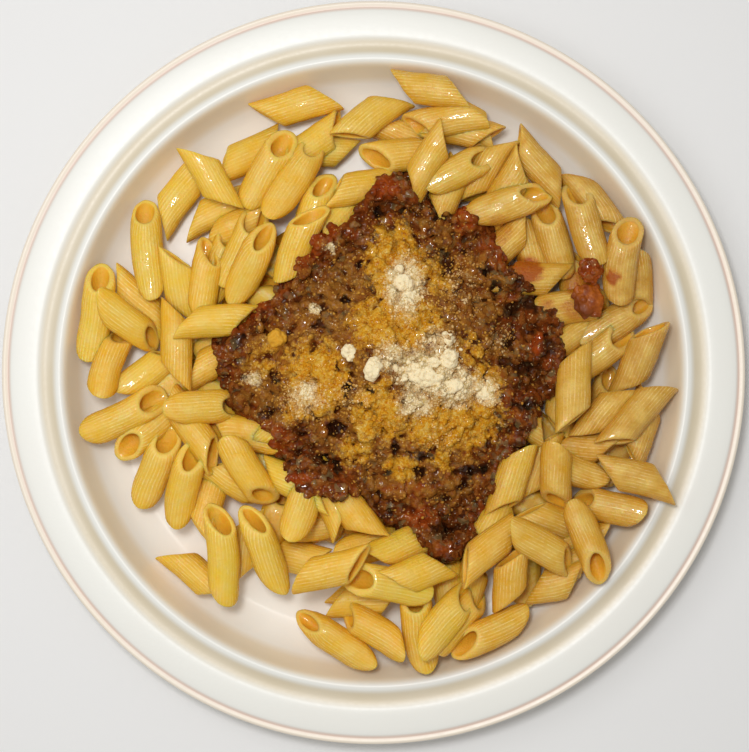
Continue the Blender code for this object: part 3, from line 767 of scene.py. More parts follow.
class Penne:
    """All the penne of the tables as arrays, and how they lie on the plate, the core and each other."""

    def __init__(self):
        layers = (BOTTOM_LAYER, MIDDLE_LAYER, TOP_LAYER)
        rows = np.array(sum(layers, ()), float)
        self.layer = np.repeat(range(len(layers)), [len(layer) for layer in layers])
        self.seen = rows[:, :2] * MM
        self.heading = np.radians(rows[:, 2])
        self.roll = np.radians(rows[:, 3])
        self.length = rows[:, 4] * MM
        self.half = 0.5 * self.length - BEARING_END * PENNE_RADIUS
        self.along = np.stack([np.cos(self.heading), np.sin(self.heading)], 1)
        self.height = np.full(len(rows), RIM_HEIGHT)
        self.slope = np.zeros(len(rows))
        for _ in range(2):
            sight = (VIEW_HEIGHT - self.height) / (VIEW_HEIGHT - RIM_HEIGHT)
            self.place = self.seen * sight[:, None]
            self.settle()
        self.sink()

    def contacts(self, stations, points):
        """Pairs that cross, as (upper, its station, lower, its station, least spacing of their axes)."""
        found = []
        for upper in range(len(points)):
            for lower in range(upper):
                offset = points[upper] - self.place[lower]
                end = self.half[lower] + OVERHANG * PENNE_RADIUS
                beside = np.clip(offset @ self.along[lower], -end, end)
                apart = np.hypot(*(offset - beside[:, None] * self.along[lower]).T)
                reach = SAME_LAYER_REACH if self.layer[upper] == self.layer[lower] else LAYER_REACH
                for k in np.nonzero(apart < reach * PENNE_RADIUS)[0]:
                    full = math.sqrt(4.0 * PENNE_RADIUS ** 2 - apart[k] ** 2)
                    found.append((upper, stations[upper, k], lower, beside[k], NESTING * full))
        return [np.array(column) for column in zip(*found)]

    def lowest(self, slope):
        """Least heights at which the ground lets the penne lie at these slopes."""
        ends = np.linspace(-0.5, 0.5, STATIONS + 2) * self.length[:, None]
        side = np.stack([-self.along[:, 1], self.along[:, 0]], 1)[:, None]
        floor = axis_floor(self.place[:, None] + ends[..., None] * self.along[:, None], side)
        return (floor - slope[:, None] * ends).max(axis=1)

    def settle(self):
        """Let every penne drop until the ground and the penne that it crosses hold it up."""
        stations = np.linspace(-1.0, 1.0, STATIONS) * self.half[:, None]
        points = self.place[:, None] + stations[..., None] * self.along[:, None]
        upper, high, lower, low, spacing = self.contacts(stations, points)
        count = len(self.place)
        inertia = self.half ** 2 / 3.0
        height = self.lowest(np.zeros(count)) + self.layer * PENNE_RADIUS
        slope = np.zeros(count)
        for _ in range(SETTLE_ROUNDS):
            height -= SETTLE_DROP
            short = spacing - (height[upper] + slope[upper] * high - height[lower] - slope[lower] * low)
            short = np.clip(short, 0.0, None)
            touching = np.bincount(upper, short > 0.0, count) + np.bincount(lower, short > 0.0, count)
            share = STIFFNESS / np.maximum(touching, 1.0)
            lift = np.bincount(upper, short, count) - np.bincount(lower, short, count)
            tilt = np.bincount(upper, short * high / (high ** 2 + inertia[upper]), count)
            tilt -= np.bincount(lower, short * low / (low ** 2 + inertia[lower]), count)
            height += 2.0 * share * lift
            slope = np.clip(slope + share * tilt, -MAX_SLOPE, MAX_SLOPE)
            height = np.maximum(height, self.lowest(slope))
        self.height, self.slope = height, slope

    def sink(self):
        """Lower the ends that the ragu hides, so that it lies over them without a bump."""
        for side in (-1.0, 1.0):
            ends = self.place + side * self.half[:, None] * self.along
            level = core_surface(np.hypot(*ends.T)) + END_RISE * PENNE_RADIUS
            above = np.clip(self.height + self.slope * side * self.half - level, 0.0, None)
            drop = above * np.clip(inside_ragu(ends) / SINK_EDGE, 0.0, 1.0)
            self.slope = self.slope - side * drop / (2.0 * self.half)
            self.height = self.height - 0.5 * drop

    def top(self, x, y, spare=0.0):
        """Height of the heap at many places at once, with some length to spare round every penne."""
        best = ground(x, y)
        for index, (place, along) in enumerate(zip(self.place, self.along)):
            station = (x - place[0]) * along[0] + (y - place[1]) * along[1]
            across = along[0] * (y - place[1]) - along[1] * (x - place[0])
            over = np.abs(station) < self.half[index] + spare
            over &= np.abs(across) < PENNE_RADIUS + 0.4 * spare
            rise = np.sqrt(np.clip(PENNE_RADIUS ** 2 - across ** 2, 0.0, None))
            height = self.height[index] + self.slope[index] * station + rise
            best = np.where(over, np.maximum(best, height), best)
        return best

    def crest(self, x, y):
        """Height of the highest penne near a place."""
        offsets = np.linspace(-NEARBY, NEARBY, 5)
        return max(float(self.top(x + dx, y + dy)) for dx in offsets for dy in offsets)


@functools.cache
def settled_penne():
    return Penne()


def ragu_top(x, y):
    """Height of the ragu: a lumpy blanket over the heap, thickest in the middle."""
    offsets = np.linspace(-NEARBY, NEARBY, 3)
    penne = settled_penne()
    cover = np.mean([penne.top(x + dx, y + dy) for dx in offsets for dy in offsets], axis=0)
    share = np.minimum(1.0, np.hypot(x - RAGU_CENTRE[0], y - RAGU_CENTRE[1]) / RAGU_REACH)
    return cover + RAGU_THICKNESS * (1.0 - RAGU_THINNING * share ** 2) + RAGU_LUMPS * lumps(x, y, LUMP_SIZE)


def patch_amount(points, patches, edge):
    """How much lies at each point, from patches that fade out over a share of their radii on both sides."""
    amount = np.zeros(len(points))
    for x, y, long, wide, heading, most in patches:
        turn = math.radians(heading)
        dx, dy = points[:, 0] - x * MM, points[:, 1] - y * MM
        u = (dx * math.cos(turn) + dy * math.sin(turn)) / (long * MM)
        v = (dy * math.cos(turn) - dx * math.sin(turn)) / (wide * MM)
        amount = np.maximum(amount, most * np.clip((1.0 + edge - np.hypot(u, v)) / (2.0 * edge), 0.0, 1.0))
    return amount


def seen(points):
    """Where points stand in the plane of the rim as seen from above."""
    return points[:, :2] * ((VIEW_HEIGHT - RIM_HEIGHT) / (VIEW_HEIGHT - points[:, 2:3]))


def patch_at(points, name):
    """How much of one kind of patch lies at each point, its outline frayed."""
    patches, edge, stray, size = PATCHES[name]
    places = seen(points)
    drift = np.column_stack([lumps(places[:, 0], places[:, 1], size * MM, seed) for seed in (1.0, 2.0)])
    return patch_amount(places + drift * stray * MM, patches, edge)


# Finishes


def plate_finish(settings):
    look = Finish("plate")
    x, y = look.sides()
    rim, wall, well = settings.rim_colour, settings.lightened_wall_colour, settings.well_colour
    groove, lip = settings.groove_shade_colour, settings.lip_colour
    # Rings of colour out from the middle. The beige at the top of the wall is painted shade with painted bounce
    # light from the pasta.
    tint = look.colours((x * x + y * y) ** 0.5 / PLATE_RADIUS, *((r * MM / PLATE_RADIUS, c) for r, c in (
        (0.0, well), (92.0, well), (96.0, wall), (103.0, wall), (105.0, SHADES["lower wall shade"]),
        (107.8, SHADES["upper wall shade"]), (109.4, rim), (111.2, rim), (112.8, groove), (116.0, groove), (118.0, rim),
        (127.0, rim), (127.9, SHADES["lip groove"]), (128.7, lip), (130.5, lip))))
    cloud, grain = look.noise(28.0 * MM), look.noise(1.4 * MM, 2.0)
    return look.finish(base_color=look.mix(cloud.ramp(0.35, 0.75) * 0.22, tint, (0.86, 0.82, 0.76)),
                       roughness=0.3 + 0.12 * grain, specular_ior_level=0.5,
                       normal=look.bump(grain, 0.05 * MM, 0.35))


def pasta_finish(settings):
    look = Finish("pasta")
    tone, oiled, rib, inner, cut, sauce, up = look.attributes(
        "tone", "oiled", "rib", "inner", "cut", "sauce", "up")
    blotch, speck, streak = look.noise(5.0 * MM), look.noise(0.6 * MM, 2.0), look.noise(1.5 * MM, 3.0)
    ribbed = 0.3 + look.noise(12.0 * MM, 1.0).ramp(0.4, 0.6) * 0.7
    wet = (look.noise(7.0 * MM, 2.0) + oiled * 0.1).ramp(0.44, 0.6) * speck.ramp(0.48, 0.56)
    stain = (sauce * 1.3 + blotch * 0.6 + streak * 0.5 + speck * 0.5 - 1.1).ramp(0.0, 0.9)
    stain = stain * sauce.ramp(0.0, 0.25)
    skin = look.layered(
        settings.bright_colour,
        ((tone * 0.8 + blotch * 0.8 - 0.35).clamp(), settings.golden_colour),
        # Darker towards the right: painted shade where less light falls.
        ((oiled + blotch * 0.3 - 0.15).clamp(), settings.right_shade_colour),
        # Painted light where the skin faces up and painted shade where it faces down.
        (up.ramp(0.55, 1.0) * (1.0 - inner) * blotch.ramp(0.3, 0.65) * 0.6, SHADES["lit pasta"]),
        ((1.0 - up).ramp(0.3, 1.0) * 0.4, SHADES["shaded pasta"]),
        # Painted highlight along the ribs' crests and painted shade in the furrows between them.
        (rib.ramp(0.2, 0.9) * ribbed * streak.ramp(0.35, 0.6) * 0.75, SHADES["rib"]),
        ((0.0 - rib).ramp(0.0, 0.6) * ribbed * 0.2, SHADES["furrow shade"]),
        (cut * 0.35, SHADES["cut"]),
        # Painted shade over the inside of the tube.
        ((inner - cut * 0.9).ramp(0.3, 0.95) * 0.75, settings.bore_shade_colour),
        (stain, look.mix(stain, SHADES["stain edge"], SHADES["stain"])))
    return look.finish(base_color=skin, roughness=0.38 + 0.25 * speck, coat_weight=wet.clamp(),
                       coat_roughness=0.06, coat_ior=1.55, specular_ior_level=0.3, subsurface_weight=0.6,
                       subsurface_radius=(1.0, 0.5, 0.12), subsurface_scale=2.8 * MM,
                       normal=look.bump(speck + streak * 1.8 + blotch * 2.5, 0.16 * MM, 0.95))


def crusted(look, meat, settings):
    """A ragu's colour with the cheese that lies on it, how much lies there, and its fine grain."""
    crumb, gold, cream, hollow, relief = look.attributes("crumb", "gold", "cream", "hollow", "relief")
    broad, fine = look.noise(3.6 * MM, 4.0, 0.62), look.noise(0.8 * MM, 3.0, 0.65)
    grain = look.cells(0.8 * MM)
    pits = look.noise(1.5 * MM, 3.0, 0.7).ramp(0.62, 0.68)
    # Darker in crevices and in the marked hollows: partly dark sauce pooled there, partly painted shade.
    deep = (0.0 - relief).ramp(0.35, 1.5).most(hollow)
    lie = broad * 1.2 + fine * 0.5 + relief * 0.12 - deep * 0.45 - pits * 0.2 - 0.25
    cover = (cream + fine * 0.9 + broad * 0.5 + relief * 0.05 - pits * 0.25 - 1.1).ramp(0.0, 0.4)
    golden = look.colours(look.noise(4.0 * MM, 4.0) * 0.45 + fine * 0.3 + grain * 0.25, (0.3, SHADES["oil"]),
                          (0.44, settings.golden_colour), (0.56, SHADES["gold"]), (0.68, SHADES["pale gold"]))
    meat = look.layered(
        meat,
        (deep * 0.85, SHADES["hollow"]),
        ((crumb * 0.8 + lie - 1.05).ramp(0.0, 0.4) * 0.8,
         look.mix(grain * 0.5 + fine * 0.5, SHADES["melted"], settings.crumb_colour)),
        ((gold * 1.05 + lie - 0.96).ramp(0.0, 0.4) * 0.93, golden),
        (cover * 0.95, look.mix(grain, SHADES["thin cream"], settings.cream_colour)))
    return meat, (crumb * 0.6).most(gold, cream), fine


def ragu_finish(settings, cheese):
    look = Finish("ragu")
    lump, grit, grain = look.noise(3.0 * MM, 4.0, 0.6), look.noise(0.6 * MM, 3.0), look.cells(2.4 * MM)
    red, = look.attributes("red")
    meat = look.colours(lump * 0.5 + grain * 0.25 + grit * 0.25, (0.3, settings.sauce_colour),
                        (0.42, SHADES["dark mince"]), (0.54, settings.meat_colour),
                        (0.66, SHADES["pale mince"]), (0.78, SHADES["dry mince"]))
    meat = look.layered(
        meat,
        (look.cells(2.0 * MM).ramp(0.84, 0.88) * 0.6, SHADES["herbs"]),
        (red.most(look.noise(9.0 * MM).ramp(0.5, 0.7) * 0.5) * (0.3 + 0.7 * grit), SHADES["tomato sauce"]))
    meat, dry, fine = crusted(look, meat, cheese)
    glints = look.cells(0.5 * MM).ramp(0.965, 0.975) * grit.ramp(0.4, 0.6) * 0.85
    wet = look.cells(0.9 * MM).ramp(0.66, 0.76) * (1.0 - dry * 0.5)
    return look.finish(base_color=look.mix(glints, meat, SHADES["glint"]), roughness=0.5 + 0.3 * grit,
                       coat_weight=wet.clamp(), coat_roughness=0.08, coat_ior=1.6, specular_ior_level=0.1,
                       normal=look.bump(lump + grit + fine * 0.5, 0.6 * MM, 0.9))


def cheese_finish(settings):
    """Grated cheese: crumbs in the sauce, golden where it soaked up oil and cream where it is dry."""
    look = Finish("cheese")
    tone, gold, cream, relief = look.attributes("tone", "gold", "cream", "relief")
    grit, grain = look.noise(0.5 * MM, 2.0), look.cells(0.8 * MM)
    shade = look.layered(
        settings.crumb_colour,
        ((gold * 1.3 + tone * 0.8 - 0.6).clamp(),
         look.mix(tone * 0.6 + grain * 0.4, settings.golden_colour, SHADES["dry gold"])),
        ((cream * 1.6 + tone * 0.9 - 0.9).clamp(), settings.cream_colour),
        (look.noise(1.0 * MM, 3.0).ramp(0.54, 0.62) * 0.35, SHADES["cheese speck"]),
        # Tan where the skin lies low between grains: painted shade in the gaps.
        ((grit * 0.6 - relief * 1.2).ramp(0.4, 0.8) * 0.6, SHADES["cheese gap shade"]))
    return look.finish(base_color=shade, roughness=0.6 + 0.2 * grit, specular_ior_level=0.2,
                       subsurface_weight=0.1, subsurface_radius=(1.0, 0.8, 0.5), subsurface_scale=0.6 * MM,
                       normal=look.bump(grit + grain * 0.5, 0.12 * MM, 0.6))


def tomato_finish():
    look = Finish("tomato")
    x, y = look.sides()
    patch, fine = look.noise(3.0 * MM), look.noise(0.8 * MM, 2.0)
    # Darker towards the lower left.
    lower_left_dark = (TOMATO_MIDDLE[0] - x + (TOMATO_MIDDLE[1] - y)) / TOMATO_SHADING + patch - 0.5
    skin = look.layered(
        SHADES["dark tomato"],
        (patch.ramp(0.35, 0.6), SHADES["tomato"]),
        (lower_left_dark.ramp(0.0, 0.6) * 0.8, SHADES["lower left tomato"]),
        (fine.ramp(0.5, 0.7) * 0.4, SHADES["tomato speck"]))
    return look.finish(base_color=skin, roughness=0.35 + 0.2 * fine, coat_weight=0.2, coat_roughness=0.06,
                       specular_ior_level=0.25, normal=look.bump(fine + patch, 0.3 * MM, 0.7))


# Pieces


def penne_tree():
    """A ribbed hollow tube on every point, cut on a slant at both ends, bent, flattened and laid in place."""
    tree, nodes, source = geometry_tree("Penne", (
        ("Radius", "Float"), ("Cut Slope", "Float"), ("Ribs", "Int"), ("Rib Height", "Float"),
        ("Around", "Int"), ("Along", "Int"), ("Material", "Material")))
    named = nodes.named
    tube = nodes.add("GeometryNodeMeshGrid", {}, {
        "Size X": 1.0, "Size Y": 1.0, "Vertices X": source.out("Along") + 1,
        "Vertices Y": source.out("Around") + 1})
    spot = nodes.add("ShaderNodeSeparateXYZ", {}, {0: nodes.add("GeometryNodeInputPosition")})
    # The grid's X runs out along the skin and back through the bore, and its Y once round the tube.
    path, turn = spot.out("X") * math.tau, spot.out("Y") * math.tau
    reach = path.cos() * 1.12
    inner = 0.5 - 0.5 * (path.sin() * 2.6).clamp(-1.0, 1.0)
    for name, value in (
            ("station", reach.clamp(-1.0, 1.0) * (1.0 - 0.03 * abs(inner * 2.0 - 1.0) ** 4.0)),
            ("inner", inner), ("rib", (turn * source.out("Ribs")).cos() * (1.0 - inner)),
            ("cut", (abs(reach) - 1.0).ramp(0.0, 0.05)), ("turn_cos", turn.cos()), ("turn_sin", turn.sin())):
        tube = nodes.stored(tube, name, value)
    tubes = nodes.add("GeometryNodeRealizeInstances", {}, {
        0: nodes.add("GeometryNodeInstanceOnPoints", {}, {"Points": source.out("Geometry"), "Instance": tube})})

    radius, half, depth = source.out("Radius"), named("length") * 0.5, named("inner")
    skin = radius + named("rib") * source.out("Rib Height") * 0.5
    wide = skin * (1.0 - depth) + radius * named("bore_wide") * depth
    high = skin * (1.0 - depth) + radius * named("bore_high") * depth
    wide = wide * (1.0 - named("pinch") * abs(named("station")) ** 5.0)
    across, over = wide * named("turn_cos"), high * named("turn_sin")
    along = named("station") * (half - radius * source.out("Cut Slope")) - over * source.out("Cut Slope")
    side = across * named("roll").cos() - over * named("roll").sin()
    up = over * named("roll").cos() + across * named("roll").sin()
    bow = (along / half) ** 2.0 - 0.33
    side = side * (1.0 + named("flat") * 0.75) + named("bow_side") * bow
    up = up * (1.0 - named("flat")) + named("bow_up") * bow
    place = named("place", "FLOAT_VECTOR")
    for amount, axis in ((along, "ahead"), (side, "aside"), (up, "upward")):
        place = nodes.vector("ADD", place, nodes.scale(named(axis, "FLOAT_VECTOR"), amount))
    for size, amount in ((9.0 * MM, 1.1 * MM), (3.0 * MM, 0.35 * MM)):
        cloud = nodes.add("ShaderNodeTexNoise", {}, {"Vector": place, "Scale": 1.0 / size, "Detail": 1.0},
                          "Color")
        place = nodes.vector("ADD", place, nodes.drift(cloud, amount))
    laid = nodes.add("GeometryNodeSetPosition", {}, {"Geometry": tubes, "Position": place})
    closed = nodes.add("GeometryNodeMergeByDistance", {}, {"Geometry": laid, "Distance": 0.005 * MM})
    nodes.end(closed, source.out("Material"))
    return tree


def grain_tree():
    """Rough grains strewn over a surface where its amount attribute says, each turned and sized at random."""
    tree, nodes, source = geometry_tree("Grains", (
        ("Density", "Float"), ("Smallest", "Float"), ("Largest", "Float"), ("Flatness", "Float"),
        ("Roughness", "Float"), ("Detail", "Int"), ("Seed", "Int"), ("Material", "Material")))
    smallest, largest, seed = (source.out(name) for name in ("Smallest", "Largest", "Seed"))

    def drawn(low, high, step):
        return nodes.add("FunctionNodeRandomValue", {"data_type": "FLOAT"}, {
            "Min": low, "Max": high, "Seed": seed + step}, "Value")

    points = nodes.add("GeometryNodeDistributePointsOnFaces", {"distribute_method": "RANDOM"}, {
        "Mesh": source.out("Geometry"), "Density": source.out("Density") * nodes.named("amount"),
        "Seed": seed})
    size = smallest + (largest - smallest) * drawn(0.0, 1.0, 1) ** 2.0
    shape = nodes.add("ShaderNodeCombineXYZ", {}, {
        0: size * drawn(0.8, 1.7, 2), 1: size * drawn(0.7, 1.2, 3), 2: size * source.out("Flatness")})
    ball = nodes.add("GeometryNodeMeshIcoSphere", {}, {"Radius": 1.0, "Subdivisions": source.out("Detail")})
    turn = nodes.add("FunctionNodeRandomValue", {"data_type": "FLOAT_VECTOR"}, {
        0: (-0.9, -0.9, 0.0), 1: (0.9, 0.9, math.tau), "Seed": seed + 4})
    grains = nodes.add("GeometryNodeInstanceOnPoints", {}, {
        "Points": points, "Instance": ball, "Rotation": turn, "Scale": shape})
    grains = nodes.stored(grains, "tone", drawn(0.0, 1.0, 5), "INSTANCE")
    grains = nodes.add("GeometryNodeRealizeInstances", {}, {0: grains})
    cloud = nodes.add("ShaderNodeTexNoise", {}, {"Scale": 0.8 / largest, "Detail": 2.0}, "Color")
    grains = nodes.add("GeometryNodeSetPosition", {}, {
        "Geometry": grains, "Offset": nodes.drift(cloud, largest * source.out("Roughness"))})
    nodes.end(grains, source.out("Material"))
    return tree


def grains_on(mesh, tree, material, density, radii, seed, flatness=0.8, roughness=0.9, detail=1):
    """Grains strewn over a mesh, so many to a square millimetre, with a least and a largest radius."""
    return grown_mesh(mesh, tree, {
        "Density": density / MM ** 2, "Smallest": radii[0], "Largest": radii[1], "Flatness": flatness,
        "Roughness": roughness, "Detail": detail, "Seed": seed, "Material": material})


def sauce_stain(points):
    """How much sauce tints the penne at each point: at the ragu's edge, and in a few spots."""
    edge = np.clip(1.0 + inside_ragu(points[:, :2]) / SAUCE_REACH, 0.0, 1.0) * 0.4
    return np.maximum(edge, patch_amount(seen(points), SAUCE_SPOTS, 0.2))


def penne_rows(places, height, along, slope, roll, length):
    """The attributes of penne with these places, headings, slopes, rolls and lengths."""
    ahead = np.column_stack([along, slope]) / np.sqrt(1.0 + slope ** 2)[:, None]
    aside = np.column_stack([-along[:, 1], along[:, 0], np.zeros(len(slope))])
    return {"place": np.column_stack([places, height]), "roll": roll, "length": length,
            "ahead": ahead, "aside": aside, "upward": np.cross(ahead, aside)}


def penne_mesh(name, values, seed, settings, tree, material, around, along):
    """The mesh of some penne from their rows, each with a shape and a tone of its own."""
    rng = np.random.default_rng(seed)
    place = values["place"]
    count = len(place)
    values = values | {
        "flat": rng.uniform(0.05, 0.22, count), "tone": rng.uniform(0.0, 1.0, count),
        "bow_side": rng.normal(0.0, 0.8 * MM, count), "bow_up": rng.uniform(-0.8 * MM, 0.2 * MM, count),
        "bore_wide": rng.uniform(0.46, 0.7, count), "bore_high": rng.uniform(0.64, 0.82, count),
        "pinch": rng.uniform(0.02, 0.36, count),
        # Painted shade towards the right, where less light falls; the coat is wetter there too.
        "oiled": np.clip((place[:, 0] * 0.95 + place[:, 1] * 0.25) / (90.0 * MM), 0.0, 1.0),
    }
    base = bpy.data.meshes.new(name)
    base.from_pydata([(0.0, 0.0, 0.0)] * count, [], [])
    for key, array in values.items():
        set_attribute(base, key, array)
    mesh = grown_mesh(base, tree, {
        "Radius": PENNE_RADIUS, "Cut Slope": CUT_SLOPE, "Ribs": settings.ribs,
        "Rib Height": settings.rib_height, "Around": around, "Along": along, "Material": material})
    set_attribute(mesh, "sauce", sauce_stain(mesh_points(mesh)))
    # How far the skin faces up, for the painted light on top and the painted shade underneath.
    set_attribute(mesh, "up", np.clip(mesh_points(mesh, "normal")[:, 2], 0.0, 1.0))
    return mesh


def lumpy_ball(name, place, radii, heading, seed):
    """A lumpy ellipsoid in its place, seated as its solid is."""
    bm = bmesh.new()
    bmesh.ops.create_icosphere(bm, subdivisions=5, radius=1.0)
    turn = Matrix.Rotation(math.radians(heading), 3, "Z")
    for vert in bm.verts:
        swell = 1.0 + 0.25 * noise.noise(vert.co * 1.7 + Vector((radii[0], radii[1], 0.0)))
        swell += 0.10 * noise.noise(vert.co * 4.0 + Vector((seed, 0.0, 0.0)))
        local = Vector([radius * MM * swell * side for radius, side in zip(radii, vert.co)])
        vert.co = Vector(place) + turn @ local
    mesh = bpy.data.meshes.new(name)
    bm.to_mesh(mesh)
    bm.free()
    mesh.shade_smooth()
    return mesh


def topping_place(row, height):
    """Centre of a topping, as its solid has it."""
    x, y, radii, _, depth = row
    level = float(height(x * MM, y * MM))
    sight = (VIEW_HEIGHT - level) / (VIEW_HEIGHT - RIM_HEIGHT)
    x, y = x * MM * sight, y * MM * sight
    return x, y, float(height(x, y)) + (radii[2] - depth) * MM


class DISH_OT_plate(bpy.types.Operator):
    """Build the plate."""

    bl_idname = "dish.plate"
    bl_label = "Plate"

    def execute(self, context):
        settings = context.scene.dish_plate
        corners = [(0.0, FLOOR_HEIGHT), (WELL_RADIUS, FLOOR_HEIGHT)]
        corners += [(r * MM, z * MM) for r, z in PLATE_TOP + PLATE_UNDER] + [(0.0, 0.0)]
        profile = self.rounded(np.array(corners))
        angles = np.linspace(0.0, math.tau, settings.steps, endpoint=False)
        rings = np.stack([np.outer(profile[:, 0], np.cos(angles)), np.outer(profile[:, 0], np.sin(angles)),
                          np.repeat(profile[:, 1:], settings.steps, axis=1)], axis=-1)
        mesh = ring_mesh("plate", rings, (0.0, 0.0, FLOOR_HEIGHT), (0.0, 0.0, 0.0))
        new_piece("plate_body", mesh, plate_finish(settings), ("plate",))
        return {"FINISHED"}

    def rounded(self, corners):
        """The profile without its ends on the axis, with every corner cut twice."""
        for _ in range(2):
            ends = corners[:1], corners[-1:]
            near = corners[:-1] * 0.75 + corners[1:] * 0.25
            far = corners[:-1] * 0.25 + corners[1:] * 0.75
            corners = np.concatenate([ends[0], np.stack([near, far], 1).reshape(-1, 2)[1:-1], ends[1]])
        return corners[1:-1]


class DISH_OT_penne(bpy.types.Operator):
    """Build the penne and the core of the heap."""

    bl_idname = "dish.penne"
    bl_label = "Penne"

    def execute(self, context):
        settings = context.scene.dish_penne
        material, tree, penne = pasta_finish(settings), penne_tree(), settled_penne()
        rows = penne_rows(penne.place, penne.height - self.sunk(penne.place), penne.along, penne.slope,
                          penne.roll, penne.length)
        for layer, name in enumerate(("penne_bottom", "penne_middle", "penne_top")):
            chosen = {key: values[penne.layer == layer] for key, values in rows.items()}
            mesh = penne_mesh(name, chosen, layer, settings, tree, material, settings.around, settings.along)
            new_piece(name, mesh, material, ("pasta_heap",) if layer == 0 else ())
        mesh = penne_mesh("penne_hidden", self.hidden(), 9, settings, tree, material, *HIDDEN_FACES)
        new_piece("penne_hidden", mesh, material)
        new_piece("pasta_core", self.core(), material)
        return {"FINISHED"}

    def sunk(self, places):
        """How much lower than they settle the penne lie that the ragu hides."""
        return np.clip(inside_ragu(places), 0.0, SINK_REACH) * SINK_SHARE

    def hidden(self):
        """Penne under those that show, at random on the core, and those that lie low between the others."""
        rng = np.random.default_rng(5)
        reach = HIDDEN_REACH * np.sqrt(rng.uniform(0.0, 1.0, HIDDEN_PENNE))
        angle, heading = (rng.uniform(0.0, math.tau, HIDDEN_PENNE) for _ in range(2))
        places = np.column_stack([reach * np.cos(angle), reach * np.sin(angle)])
        height = core_surface(reach) - 0.5 * PENNE_RADIUS - HIDDEN_SINK * self.sunk(places)
        slope = rng.uniform(-0.1, 0.1, HIDDEN_PENNE)
        roll = rng.uniform(-math.pi, math.pi, HIDDEN_PENNE)
        length = rng.uniform(28.0, 33.0, HIDDEN_PENNE) * MM
        random = penne_rows(places, height, np.column_stack([np.cos(heading), np.sin(heading)]), slope, roll,
                            length)
        low = self.low()
        return {key: np.concatenate([values, low[key]]) for key, values in random.items()}

    def low(self):
        """Penne that lie low on the plate, between the others."""
        rows = np.array(LOW_PENNE, float)
        heading, flat = np.radians(rows[:, 2]), np.zeros(len(rows))
        places = rows[:, :2] * MM * (VIEW_HEIGHT - PENNE_RADIUS) / (VIEW_HEIGHT - RIM_HEIGHT)
        on_plate = plate_surface(np.hypot(*places.T) + 0.5 * PENNE_RADIUS) + PENNE_RADIUS + 2.0 * GAP
        height = np.maximum(ground(*places.T) + 0.5 * PENNE_RADIUS, on_plate)
        return penne_rows(places, height, np.column_stack([np.cos(heading), np.sin(heading)]), flat, flat,
                          rows[:, 3] * MM)

    def core(self):
        """What shows of the core between the penne."""
        angles = np.linspace(0.0, math.tau, 96, endpoint=False)
        reach = np.outer(np.linspace(0.04, 1.0, 30) * SHOWN_CORE_RADIUS, np.ones(len(angles)))
        x, y = reach * np.cos(angles), reach * np.sin(angles)
        fall = np.sqrt(1.0 - (reach / (SHOWN_CORE_RADIUS + 0.5 * MM)) ** 4)
        lift = (core_surface(reach) - FLOOR_HEIGHT) * 0.75 * fall
        bottom = FLOOR_HEIGHT + GAP
        rings = np.stack([x, y, bottom + lift * (1.0 + 0.1 * lumps(x, y, 7.0 * MM))], axis=-1)
        mesh = ring_mesh("pasta_core", rings, (0.0, 0.0, float(rings[0, :, 2].mean())), (0.0, 0.0, bottom))
        # Golden, with the painted shade of the penne's insides partly laid over it. With no up attribute it
        # also takes their painted underside shade, so the core shows as shade between the penne.
        set_attribute(mesh, "tone", 1.0)
        set_attribute(mesh, "inner", 0.6)
        return mesh


